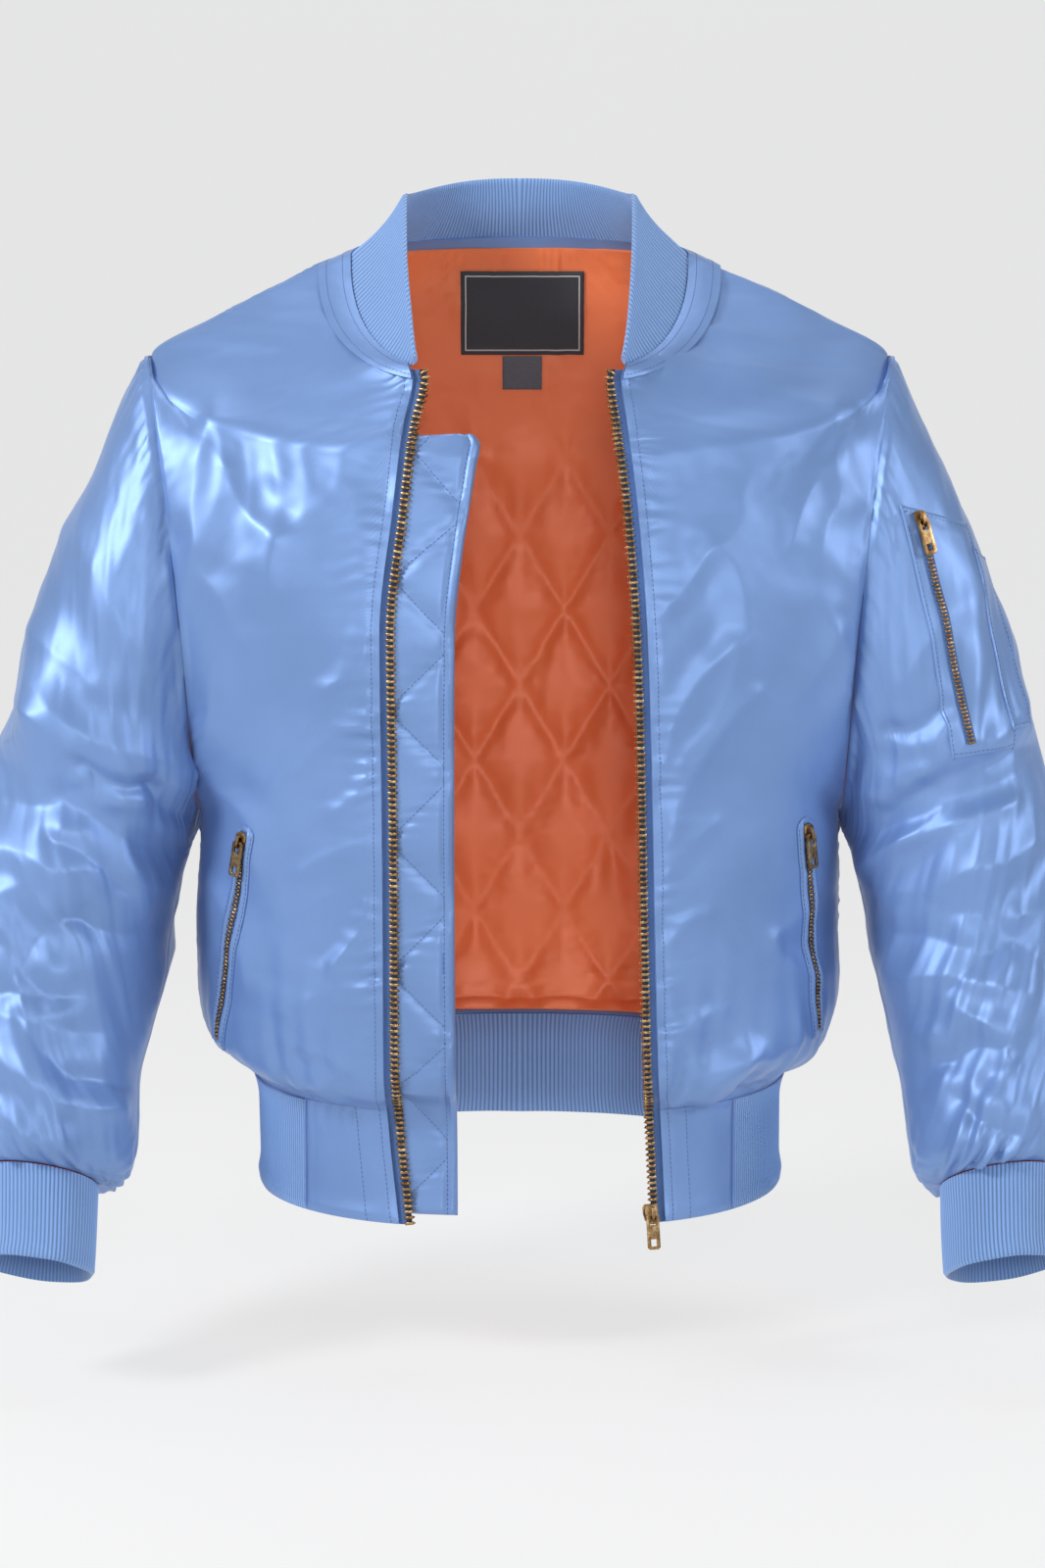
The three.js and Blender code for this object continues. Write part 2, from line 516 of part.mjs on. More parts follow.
// Binding: a narrow band along the neck seam, laid on the fronts' and back's own last row of facets
const BAND = { low: 0.06, high: 0.88 };
const columnsOf = (skin, us) => us.map((u) => ({ skin, u }));
const bandColumns = [
  ...columnsOf(fronts.right.skin, steps(12)),
  ...columnsOf(backSkin, steps(20).slice(1, -1)),
  ...columnsOf(fronts.left.skin, steps(12).reverse()),
];
const bandGrid = (lift) => [BAND.low, BAND.high].map((share) => bandColumns.map(({ skin, u }) => {
  const [low, high] = LEVELS.slice(-2);
  return skin.point(u, low).lerp(skin.point(u, high), share).addScaledVector(skin.normal(u, low), lift);
}));
add("neck_band", wall(bandGrid(SEAM + TRIM), bandGrid(SEAM)), BLUE);

// Main zip: on each side a tape behind the front's edge, with its row of teeth as one bead
const TAPE_LEVELS = [HEM, -0.12, -0.08, -0.04, 0, 0.03, 0.07, 0.16, 0.25, 0.34, 0.43, 0.52, 0.61, 0.7, 0.78, 0.86,
  0.92, 0.96, 0.995];
const TAPE_STEPS = [
  { out: -TOOTH, bead: true },
  { out: TOOTH, bead: true },
  { out: TOOTH + 0.6, bead: false },
  { out: TAPE_UNDER, bead: false },
];
for (const [side, name] of [[-1, "right"], [1, "left"]]) {
  const skin = surface((u, v) => torso(v, across(side, v, teethAt(side, v) + lerp(-TOOTH, TAPE_UNDER, u)), false),
    MIDDLE);
  const us = TAPE_STEPS.map((step) => (step.out + TOOTH) / (TOOTH + TAPE_UNDER));
  const middle = -TAPE_SINK - TAPE / 2;
  const half = (column) => (TAPE_STEPS[column].bead ? TOOTH : TAPE / 2);
  const outer = grid(us, TAPE_LEVELS, (u, v, column) => skin.lifted(u, v, middle + half(column)));
  const inner = grid(us, TAPE_LEVELS, (u, v, column) => skin.lifted(u, v, middle - half(column)));
  add(`zip_tape_${name}`, wall(outer, inner), TAPE_BLUE);
}

// Wind flap: a quilted strip behind the right-hand teeth, held under the front's edge
const FLAP_LEVELS = [...steps(4, FLAP_END, 0), ...steps(24, 0, FLAP_TOP).slice(1)];
const FLAP_COLUMNS = 4;
const flapSkin = surface((u, v) => {
  const free = flapEdge.x(body.zFront(v));
  return torso(v, across(-1, v, lerp(free, teethAt(-1, v) + TAPE_REACH + 2, u)), false);
}, MIDDLE);
const flapPuff = (column, row) => ((column + row) % 4 === 2 || (column - row) % 4 === 2 ? FLAP_PUFF : 0);
const flapOuter = grid(steps(FLAP_COLUMNS), FLAP_LEVELS, (u, v, column, row) => {
  const inside = column > 0 && column < FLAP_COLUMNS && row > 0 && row < FLAP_LEVELS.length - 1;
  return flapSkin.lifted(u, v, -FLAP_SINK - FLAP_PUFF + (inside ? flapPuff(column, row) : 0));
});
const flapInner = grid(steps(1), FLAP_LEVELS, (u, v) => flapSkin.lifted(u, v, -FLAP_SINK - FLAP_PUFF - FLAP));
add("wind_flap", wall(flapOuter, flapInner), BLUE);

// Back lining: it lies deep behind the shell's wadding, and comes up to it at the hem and the neck
const LINING_SINK = 6.1;
const LINING_END = { low: 0.005, high: 0.99, side: 0.985, taper: 0.06 };
function liningSink(v) {
  const end = Math.min(v - LINING_END.low, LINING_END.high - v);
  return lerp(SHELL + 2 * SEAM, LINING_SINK, smoothstep(end, 0, LINING_END.taper));
}

// The diamonds are counted in quarters, across from the middle of the back and up from their level
const across4 = DIAMOND.width / 4;
const up4 = DIAMOND.height / 4;
const GIRTH_LEVEL = 0.25;
const GIRTH_STEPS = 400;
const girth = steps(GIRTH_STEPS).map((u) => backBase.point(lerp(0.5, 1, u), GIRTH_LEVEL));
const girthAt = girth.map((_, i) =>
  girth.slice(1, i + 1).reduce((sum, point, k) => sum + point.distanceTo(girth[k]), 0));
const shareAt = (distance) => 0.5 + girthAt.findIndex((length) => length >= distance) / (2 * GIRTH_STEPS);
const halfGirth = girthAt.at(-1) * LINING_END.side;
const liningColumns = Math.floor(halfGirth / across4 / 2) * 2;
const liningUs = steps(2 * liningColumns, -liningColumns, liningColumns).map((k) => {
  const distance = Math.abs(k) === liningColumns ? halfGirth : Math.abs(k) * across4;
  return k < 0 ? 1 - shareAt(distance) : shareAt(distance);
});
function levelAt(z) {
  let [low, high] = [0, 1];
  for (let i = 0; i < 30; i += 1) {
    const mid = (low + high) / 2;
    if (body.zBack(mid) < z) low = mid;
    else high = mid;
  }
  return low;
}
const lowRow = Math.ceil((body.zBack(LINING_END.low) - DIAMOND.level) / up4 + 0.4);
const highRow = Math.floor((body.zBack(LINING_END.high) - DIAMOND.level) / up4 - 0.2);
const liningRows = steps(highRow - lowRow, lowRow, highRow);
const liningVs = [LINING_END.low, ...liningRows.map((row) => levelAt(DIAMOND.level + row * up4)), LINING_END.high];
const fourth = (number) => ((number % 4) + 4) % 4;
function diamondPuff(column, row) {
  if (row <= 0 || row >= liningVs.length - 1 || column <= 0 || column >= 2 * liningColumns) return 0;
  const [k, m] = [column - liningColumns, lowRow + row - 1];
  const seam = fourth(k + m) === 0 || fourth(k - m) === 0;
  const swell = fourth(k + m) === 2 && fourth(k - m) === 2 ? 1 : 0.75;
  return seam ? 0 : PUFF * swell * smoothstep(-(DIAMOND.level + m * up4), -QUILT_FROM, -QUILT_FULL);
}
const liningFace = grid(liningUs, liningVs, (u, v, column, row) =>
  backBase.lifted(u, v, -liningSink(v) - LINING - diamondPuff(column, row)));
const thinned = (list) => list.filter((_, i) => i % 2 === 0 || i === list.length - 1);
const liningHidden = grid(thinned(liningUs), thinned(liningVs), (u, v) => backBase.lifted(u, v, -liningSink(v)));
const alongSeam = (row, column) => fourth(column - liningColumns - (lowRow + row - 1)) !== 0;
const lining = add("lining_back", wall(liningFace, liningHidden, { turnDiagonal: alongSeam }), ORANGE);

// What lies on a panel is placed as seen by a viewer who stands round to the side by a yaw, at a distance from
// the middle: x is across the view and z is up. A ray from each place finds the face that the piece lies on.
function viewer(yaw, distance = 400) {
  const turn = THREE.MathUtils.degToRad(yaw);
  const right = new THREE.Vector3(Math.cos(turn), Math.sin(turn), 0);
  const ahead = new THREE.Vector3(-Math.sin(turn), Math.cos(turn), 0);
  const ray = new THREE.Raycaster();
  const faceAt = (under, x, z) => {
    ray.set(right.clone().multiplyScalar(x).addScaledVector(ahead, -distance).setZ(z), ahead);
    return ray.intersectObjects(under)[0].point;
  };
  const seat = (under, x, z) => {
    const reach = 4;
    const wide = faceAt(under, x + reach, z).sub(faceAt(under, x - reach, z));
    const tall = faceAt(under, x, z + reach).sub(faceAt(under, x, z - reach));
    return { point: faceAt(under, x, z), normal: wide.cross(tall).normalize() };
  };
  return { right, ahead, faceAt, seat };
}

// Lays a piece, given as a place (x, z) for each share across and down, and lifts it clear of the facets
function lay(name, view, under, place, columns, rows, thick, finish) {
  const seats = grid(steps(columns), steps(rows), (u, v) => {
    const at = place(u, v);
    return { ...view.seat(under, at.x, at.z), lift: LAID };
  });
  const low = (one) => one.point.clone().addScaledVector(one.normal, one.lift);
  const fine = 7;
  const spots = steps(fine).flatMap((one) => steps(fine).map((two) => [one, two, 1 - one - two]))
    .filter((shares) => shares[2] > -1e-6);
  const clearUnder = (corners) => {
    const short = Math.max(...spots.map((shares) => {
      const spot = corners.reduce((sum, corner, i) => sum.addScaledVector(low(corner), shares[i]),
        new THREE.Vector3());
      const face = view.faceAt(under, spot.dot(view.right), spot.z);
      return spot.sub(face).dot(view.ahead) + SEAM;
    }));
    if (short > 0) corners.forEach((corner) => { corner.lift += short; });
  };
  for (let i = 0; i < rows; i += 1) {
    for (let j = 0; j < columns; j += 1) {
      const [a, b, c, d] = [seats[i][j], seats[i + 1][j], seats[i + 1][j + 1], seats[i][j + 1]];
      clearUnder([a, b, c]);
      clearUnder([a, c, d]);
    }
  }
  const raised = (more) => seats.map((row) => row.map((one) =>
    one.point.clone().addScaledVector(one.normal, one.lift + more)));
  return add(name, wall(raised(thick), raised(0)), finish);
}

const between = (a, b, share) => ({ x: lerp(a.x, b.x, share), z: lerp(a.z, b.z, share) });
const patchPlace = ([a, b, c, d]) => (u, v) => between(between(a, b, u), between(c, d, u), v);
function stripPlace(top, end, width, above = 0, below = 0) {
  const length = Math.hypot(end.x - top.x, end.z - top.z);
  const [dx, dz] = [(end.x - top.x) / length, (end.z - top.z) / length];
  return (u, v) => {
    const along = lerp(-above, length + below, v);
    const off = (u - 0.5) * width;
    return { x: top.x + dx * along - dz * off, z: top.z + dz * along + dx * off };
  };
}

// Extruded outline as a manifold solid, turned into place by a matrix
function solid(shape, depth, matrix = new THREE.Matrix4()) {
  const geometry = new THREE.ExtrudeGeometry(shape, { depth, bevelEnabled: false, curveSegments: 4 });
  geometry.applyMatrix4(matrix);
  geometry.deleteAttribute("normal");
  geometry.deleteAttribute("uv");
  const merged = mergeVertices(geometry, 1e-4);
  return new wasm.Manifold(new wasm.Mesh({
    numProp: 3,
    vertProperties: new Float32Array(merged.attributes.position.array),
    triVerts: new Uint32Array(merged.index.array),
  }));
}
function fromSolid(manifold) {
  const { vertProperties, triVerts } = manifold.getMesh();
  const geometry = new THREE.BufferGeometry();
  geometry.setAttribute("position", new THREE.BufferAttribute(vertProperties, 3));
  geometry.setIndex(new THREE.BufferAttribute(triVerts, 1));
  geometry.computeVertexNormals();
  return geometry;
}
const outline = (pairs) => new THREE.Shape(pairs.map(([x, y]) => new THREE.Vector2(x, y)));
const raise = (z) => new THREE.Matrix4().makeTranslation(0, 0, z);
const rectangle = (x0, y0, x1, y1) => [[x0, y0], [x1, y0], [x1, y1], [x0, y1]];

// Slider: a plate over the teeth with a bridge that the pull's bar passes through
function sliderPlate(z) {
  const [top, bottom, long] = [SLIDER.top / 2, SLIDER.bottom / 2, SLIDER.length / 2];
  const shape = outline([[-top + 1.5, -long], [top - 1.5, -long], [top, -long + 2], [top, 0], [bottom, long - 1],
    [bottom - 1, long], [-bottom + 1, long], [-bottom, long - 1], [-top, 0], [-top, -long + 2]]);
  return solid(shape, SLIDER.plate, raise(z));
}
function sliderSolid(open) {
  const overlap = 0.2;
  const [half, window] = [BRIDGE.length / 2, BRIDGE.window / 2];
  const arch = outline([[-half, SEAM + SLIDER.plate - overlap], [half, SEAM + SLIDER.plate - overlap],
    [half, BRIDGE.rise - 1], [half - 1, BRIDGE.rise], [-half + 1, BRIDGE.rise], [-half, BRIDGE.rise - 1]]);
  arch.holes.push(outline(rectangle(-window, BRIDGE.low, window, BRIDGE.high)));
  const alongZip = new THREE.Matrix4().makeBasis(
    new THREE.Vector3(0, 1, 0), new THREE.Vector3(0, 0, 1), new THREE.Vector3(1, 0, 0),
  ).setPosition(-BRIDGE.width / 2, 0, 0);
  const front = sliderPlate(SEAM).add(solid(arch, BRIDGE.width, alongZip));
  if (!open) return fromSolid(front);
  const depth = 2 * (TOOTH + SEAM + CHANNEL_GAP);
  const back = sliderPlate(SEAM - depth - SLIDER.plate);
  const wedge = solid(outline(rectangle(-WEDGE.width / 2, -SLIDER.length / 2, WEDGE.width / 2,
    WEDGE.length - SLIDER.length / 2)), depth + 2 * overlap, raise(SEAM - depth - overlap));
  return fromSolid(front.add(back).add(wedge));
}

function pullSolid() {
  const [half, corner] = [PULL.width / 2, 1.4];
  const end = PULL.length;
  const shape = outline([[-half + corner, 0], [half - corner, 0], [half, corner], [half, end - corner],
    [half - corner, end], [-half + corner, end], [-half, end - corner], [-half, corner]]);
  const slotEnd = PULL.bar + PULL.slotLong;
  shape.holes.push(outline(rectangle(-PULL.slot / 2, PULL.bar, PULL.slot / 2, slotEnd)));
  const eyeEnd = end - 2.2;
  shape.holes.push(outline(rectangle(-PULL.eye / 2, eyeEnd - PULL.eyeLong, PULL.eye / 2, eyeEnd)));
  const move = new THREE.Matrix4().makeTranslation(0, PULL_SEAT.y - PULL.bar / 2, PULL_SEAT.z - PULL.thick / 2);
  return fromSolid(solid(shape, PULL.thick, move));
}

// A slider and its pull on a zip: the frame's y runs down the zip and its z out of the cloth
function zipHardware(name, point, normal, down, open = false) {
  const y = down.clone().addScaledVector(normal, -down.dot(normal)).normalize();
  const frame = new THREE.Matrix4().makeBasis(y.clone().cross(normal), y, normal).setPosition(point);
  for (const [kind, geometry] of [["slider", sliderSolid(open)], ["pull", pullSolid()]]) {
    const mesh = add(`${kind}_${name}`, geometry, BRASS);
    mesh.applyMatrix4(frame);
  }
}

function shortZip(name, view, under, top, end) {
  const place = stripPlace(top, end, CHAIN.width, SLIDER.length / 2 - 1, 0);
  const chain = lay(`zip_${name}`, view, under, place, 2, 10, CHAIN.thick, BRASS);
  const { normal } = view.seat(under, top.x, top.z);
  const down = view.right.clone().multiplyScalar(end.x - top.x).setZ(end.z - top.z);
  zipHardware(name, view.faceAt([chain], top.x, top.z), normal, down);
}

for (const { side, name, top, end } of POCKETS) {
  const view = viewer(side * POCKET_YAW);
  const [start, stop] = [{ x: side * top.x, z: top.z }, { x: side * end.x, z: end.z }];
  const place = stripPlace(start, stop, WELT.width, WELT.above, WELT.below);
  const welt = lay(`pocket_welt_${name}`, view, [fronts[name].mesh], place, 4, 12, TRIM, BLUE);
  shortZip(`pocket_${name}`, view, [welt, fronts[name].mesh], start, stop);
}

const sleeveView = viewer(SLEEVE_YAW);
const patch = lay("sleeve_pocket", sleeveView, [sleeves.left.mesh], patchPlace(SLEEVE_PATCH), 6, 12, TRIM, BLUE);
const patched = [patch, sleeves.left.mesh];
lay("pen_pocket", sleeveView, patched, patchPlace(PEN_PATCH), 3, 10, TRIM, BLUE);
shortZip("sleeve", sleeveView, patched, SLEEVE_ZIP.top, SLEEVE_ZIP.end);

// Main slider, at the hem end of the left row of teeth
{
  const v = MAIN_SLIDER_LEVEL;
  const wide = 20;
  const skin = surface((u, w) => torso(w, across(1, w, teethAt(1, w) + wide * (u - 0.5)), false), MIDDLE);
  const beadFace = -TAPE_SINK - TAPE / 2 + TOOTH + CHANNEL_GAP;
  const point = skin.lifted(0.5 - MAIN_SLIDER_SHIFT / wide, v, beadFace);
  const down = skin.point(0.5, v - 0.01).sub(skin.point(0.5, v));
  zipHardware("main", point, skin.normal(0.5, v), down, true);
}

// Label and size tag, sewn to the lining below the neck
function labelPlace({ x, z, width, height }) {
  return (u, v) => ({ x: x + (u - 0.5) * width, z: z + (0.5 - v) * height });
}
const insideView = viewer(0, 60);
const label = lay("neck_label", insideView, [lining], labelPlace(LABEL), 6, 4, LABEL.thick, CHARCOAL);
lay("size_tag", insideView, [label, lining], labelPlace(TAG), 2, 2, TAG.thick, GREY);

export default jacket;
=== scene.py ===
"""A satin bomber jacket, worn open with nobody in it, over a pale studio floor.

Lengths are millimetres, and a mesh is turned into metres when it is made. The front faces -Y, the wearer's
left is +X, and the origin is midway between the two neck points.
"""

import json
import math

import bmesh
import bpy
import numpy as np
from mathutils import Matrix, Vector
from mathutils.bvhtree import BVHTree


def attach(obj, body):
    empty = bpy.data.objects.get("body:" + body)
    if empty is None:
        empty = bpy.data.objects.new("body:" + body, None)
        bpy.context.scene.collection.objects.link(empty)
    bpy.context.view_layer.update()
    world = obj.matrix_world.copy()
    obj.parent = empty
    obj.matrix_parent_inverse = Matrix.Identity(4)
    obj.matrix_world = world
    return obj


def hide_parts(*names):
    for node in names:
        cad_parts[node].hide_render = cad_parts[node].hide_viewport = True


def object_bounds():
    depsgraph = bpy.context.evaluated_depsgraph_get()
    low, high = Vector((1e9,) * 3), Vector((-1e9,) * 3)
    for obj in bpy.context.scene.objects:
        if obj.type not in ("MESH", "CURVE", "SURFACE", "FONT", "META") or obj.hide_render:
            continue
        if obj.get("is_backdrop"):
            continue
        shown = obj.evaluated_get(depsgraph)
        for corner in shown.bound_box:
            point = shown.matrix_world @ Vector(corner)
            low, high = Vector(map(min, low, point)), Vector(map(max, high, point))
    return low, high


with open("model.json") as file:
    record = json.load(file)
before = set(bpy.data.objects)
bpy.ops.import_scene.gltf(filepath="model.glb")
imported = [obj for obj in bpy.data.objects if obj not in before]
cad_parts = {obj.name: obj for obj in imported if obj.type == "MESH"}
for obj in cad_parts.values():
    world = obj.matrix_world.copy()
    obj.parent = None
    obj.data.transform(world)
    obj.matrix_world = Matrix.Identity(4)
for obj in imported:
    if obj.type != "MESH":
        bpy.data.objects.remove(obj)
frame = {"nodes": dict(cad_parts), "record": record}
cad_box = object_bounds()
MM = 0.001
ROOT = "jacket"

# Camera, floor and light
# The camera stands 2.4 m in front and 6 degrees above the middle of the jacket. The floor is one pale sweep
# that rises behind it, and four broad lamps light it from the upper left, the right, the front and above.
CAMERA = {"target": (2.1, 0, -374.5), "away": 2400, "above": math.radians(6), "view_height": 1120}
FLOOR = {"z": -775, "front": -6000, "bend": 2600, "radius": 2200, "width": 9000, "top": 6000}
LAMPS = {
    "key": {"place": (-1750, -1150, 950), "size": 600, "watts": 38},
    "fill": {"place": (1900, -900, 500), "size": 700, "watts": 15},
    "front": {"place": (150, -2700, 250), "size": 600, "watts": 15},
    "above": {"place": (0, 300, 1900), "size": 900, "watts": 11},
}

scene = bpy.context.scene
scene.view_settings.view_transform = "Standard"

lens = bpy.data.cameras.new("camera")
lens.sensor_fit = "VERTICAL"
lens.sensor_height = 24
lens.lens = lens.sensor_height * CAMERA["away"] / CAMERA["view_height"]
camera = bpy.data.objects.new("camera", lens)
target = Vector(CAMERA["target"]) * MM
back_off = Vector((0, -math.cos(CAMERA["above"]), math.sin(CAMERA["above"])))
camera.location = target + back_off * CAMERA["away"] * MM
camera.rotation_euler = (math.pi / 2 - CAMERA["above"], 0, 0)
scene.collection.objects.link(camera)
scene.camera = camera

for name, lamp in LAMPS.items():
    light = bpy.data.lights.new(name, "AREA")
    light.shape = "DISK"
    light.size = lamp["size"] * MM
    light.energy = lamp["watts"]
    holder = bpy.data.objects.new(name, light)
    holder.location = Vector(lamp["place"]) * MM
    holder.rotation_euler = (target - holder.location).to_track_quat("-Z", "Y").to_euler()
    scene.collection.objects.link(holder)

world = bpy.data.worlds.new("studio")
world.use_nodes = True
world.node_tree.nodes["Background"].inputs["Color"].default_value = (0.95, 0.97, 1, 1)
world.node_tree.nodes["Background"].inputs["Strength"].default_value = 0.30
scene.world = world


class Reading:
    """A shader value that sums, products and the like can be taken of."""

    def __init__(self, tree, socket):
        self.tree = tree
        self.socket = socket

    def _with(self, operation, *others):
        node = self.tree.nodes.new("ShaderNodeMath")
        node.operation = operation
        for place, value in enumerate((self, *others)):
            if isinstance(value, Reading):
                self.tree.links.new(value.socket, node.inputs[place])
            else:
                node.inputs[place].default_value = value
        return Reading(self.tree, node.outputs[0])

    def __add__(self, other):
        return self._with("ADD", other)

    __radd__ = __add__

    def __mul__(self, other):
        return self._with("MULTIPLY", other)

    __rmul__ = __mul__

    def __sub__(self, other):
        return self._with("SUBTRACT", other)

    def __rsub__(self, other):
        return (self * -1) + other

    def __truediv__(self, other):
        return self._with("DIVIDE", other)

    def wave(self):
        return self._with("SINE") * 0.5 + 0.5

    def fraction(self):
        return self._with("FRACT")

    def size(self):
        return self._with("ABSOLUTE")

    def above(self, level):
        return self._with("GREATER_THAN", level)

    def least(self, other):
        return self._with("MINIMUM", other)

    def most(self, other):
        return self._with("MAXIMUM", other)


class Finish:
    """A material with one Principled shader. Its nodes read object places and the piece's own UV."""

    def __init__(self, name, **constants):
        self.material = bpy.data.materials.new(name)
        self.material.use_nodes = True
        self.tree = self.material.node_tree
        self.shader = self.tree.nodes["Principled BSDF"]
        for socket, value in constants.items():
            self.shader.inputs[socket.replace("_", " ")].default_value = value

    def node(self, kind, inputs=None, **settings):
        made = self.tree.nodes.new(kind)
        for key, value in settings.items():
            setattr(made, key, value)
        for key, value in (inputs or {}).items():
            if isinstance(value, Reading):
                self.tree.links.new(value.socket, made.inputs[key])
            elif isinstance(value, bpy.types.NodeSocket):
                self.tree.links.new(value, made.inputs[key])
            else:
                made.inputs[key].default_value = value
        return made

    def reading(self, socket):
        return Reading(self.tree, socket)

    def place(self):
        return self.node("ShaderNodeTexCoord").outputs["Object"]

    def cloth(self):
        """Millimetres across and along the cloth."""
        uv = self.node("ShaderNodeUVMap", uv_map="cloth").outputs["UV"]
        split = self.node("ShaderNodeSeparateXYZ", {0: uv})
        return self.reading(split.outputs[0]) * 1000, self.reading(split.outputs[1]) * 1000

    def noise(self, scale, detail=3, at=None):
        inputs = {"Vector": at or self.place(), "Scale": scale, "Detail": detail}
        return self.reading(self.node("ShaderNodeTexNoise", inputs).outputs[0])

    def colours(self, factor, stops):
        ramp = self.node("ShaderNodeValToRGB", {0: factor})
        while len(ramp.color_ramp.elements) < len(stops):
            ramp.color_ramp.elements.new(0.5)
        for element, (position, colour) in zip(ramp.color_ramp.elements, stops):
            element.position = position
            element.color = (*colour, 1)
        self.tree.links.new(ramp.outputs[0], self.shader.inputs["Base Color"])

    def varies(self, socket, value):
        self.tree.links.new(value.socket, self.shader.inputs[socket])

    def bump(self, height, depth, strength=1):
        inputs = {"Height": height, "Distance": depth * MM, "Strength": strength}
        made = self.node("ShaderNodeBump", inputs)
        self.tree.links.new(made.outputs[0], self.shader.inputs["Normal"])


def mesh_piece(name, points, faces, finishes, which=None, uv=None):
    mesh = bpy.data.meshes.new(name)
    mesh.from_pydata((np.asarray(points) * MM).tolist(), [], [list(map(int, face)) for face in faces])
    for finish in finishes:
        mesh.materials.append(finish.material)
    if which is not None:
        mesh.polygons.foreach_set("material_index", which)
    if uv is not None:
        layer = mesh.uv_layers.new(name="cloth")
        layer.data.foreach_set("uv", (np.asarray(uv) * MM).ravel())
    mesh.shade_smooth()
    mesh.set_sharp_from_angle(angle=math.radians(60))
    mesh.validate()
    piece = bpy.data.objects.new(name, mesh)
    scene.collection.objects.link(piece)
    return piece


turn = np.linspace(0, math.pi / 2, 24)
sweep_y = np.concatenate([[FLOOR["front"]], FLOOR["bend"] + FLOOR["radius"] * np.sin(turn)])
sweep_z = np.concatenate([[FLOOR["z"]], FLOOR["z"] + FLOOR["radius"] * (1 - np.cos(turn))])
sweep_y = np.append(sweep_y, sweep_y[-1])
sweep_z = np.append(sweep_z, FLOOR["top"])
sides = FLOOR["width"] / 2
floor_points = [(x, y, z) for y, z in zip(sweep_y, sweep_z) for x in (-sides, sides)]
floor_faces = [(2 * i, 2 * i + 1, 2 * i + 3, 2 * i + 2) for i in range(len(sweep_y) - 1)]
paper = Finish("pale_paper", Roughness=0.95, Specular_IOR_Level=0.1, Emission_Color=(1, 1, 1, 1),
               Emission_Strength=0.67)
paper.colours(paper.noise(2, 2), [(0, (0.21, 0.21, 0.21)), (1, (0.22, 0.22, 0.22))])
floor = mesh_piece("floor", floor_points, floor_faces, [paper])
floor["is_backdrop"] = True

# Front panels
# Satin nylon with thin wadding, cut in one piece each side from the zip to the side seam and gathered into
# the hem. The inside is a satin facing beside the zip and quilted lining beyond it.
SEAM = 0.3
SHELL = 2.2
ARMPIT = 0.38
TIP = 0.86
HEM = -0.16
BODY = {
    "v": [HEM, -0.12, -0.04, 0, 0.03, 0.07, 0.13, 0.25, ARMPIT, 0.5, 0.62, 0.74, TIP, 0.91, 0.96, 1],
    "z_front": [-672, -652, -612, -592, -581, -562, -530, -465, -388, -322, -257, -198, -142, -120, -98,
                -79],
    "z_side": [-655, -636, -597, -578, -567, -550, -522, -462, -392, -330, -230, -140, -71, -43, -18, 0],
    "z_back": [-632, -614, -577, -559, -551, -537, -512, -458, -392, -330, -262, -185, -90, -50, -12, 18],
    "half": [189, 186, 186, 190, 206, 220, 228, 229, 228, 228, 240, 252, 260, 216, 164, 118],
    "front": [106, 103, 104, 109, 119, 126, 129, 128, 130, 133, 132, 125, 113, 110, 113, 126],
    "back": [103, 100, 100, 104, 113, 120, 123, 122, 124, 127, 129, 125, 110, 96, 80, 60],
    "square": [2.2, 2.2, 2.2, 2.2, 2.25, 2.3, 2.3, 2.3, 2.3, 2.3, 2.3, 2.3, 2.25, 2.15, 2.05, 2],
    "middle_y": [0, 0, 0, 0, 0, 0, 0, 0, 0, 0, 0, 0, 0, 7, 13, 18],
}
ARM = {"low_x": 228, "low_z": -392, "top_x": 260, "top_z": -71, "depth": 84, "bow": 8}
TEETH = {
    "z": [-672, -612, -560, -455, -353, -262, -180, -120, -88, -79],
    "right": [77, 83.5, 86.5, 86.5, 87, 87.5, 79, 72, 66, 69],
    "left": [95, 92, 88.5, 85.5, 83, 79.5, 73.5, 66.5, 63, 66],
}
TAPE_REACH = 7
FRONT_RISE = 1.7
FACING = 46
GATHER = {"pitch": 19, "rise": 4.2, "reach": 60}
PUCKER = {"pitch": 11, "rise": 2.1, "reach": 17}
CRUMPLE = {"wide": 74, "high": 118, "rise": 2.0}
FOLD_RISE = 1.5
UNDER = 3.4
FRONT_UNDER = 6
FRONT_PUFF = 2.6
SATIN_BLUE = (0.176, 0.300, 0.590)
RIGHT_CREASES = {
    "x1": [205, 200, 212, 104, 101, 103, 99, 106, 104, 195, 214, 150, 184, 122, 210, 196],
    "z1": [-545, -566, -120, -262, -318, -352, -402, -447, -500, -500, -225, -180, -420, -560, -300, -150],
    "x2": [138, 150, 222, 128, 150, 124, 146, 128, 160, 214, 190, 172, 206, 148, 224, 168],
    "z2": [-574, -585, -200, -296, -352, -381, -424, -486, -520, -440, -262, -225, -372, -548, -350, -190],
    "bend": [6, 4, 3, -5, 5, -4, 4, -6, 3, 6, -4, 5, 6, 3, -4, 5],
    "width": [12, 8, 12, 7, 9, 6, 8, 6, 8, 10, 8, 12, 10, 6, 9, 9],
    "rise": [4, -2.5, 3, 1.7, 2.2, 1.5, 2.2, 1.8, 1.6, 2.2, 1.9, 1.8, 1.6, 2, 2, 1.8],
    "lean": [1, 0, 1, 1, -1, 1, -1, 1, -1, 1, -1, 1, 1, -1, 1, -1],
}
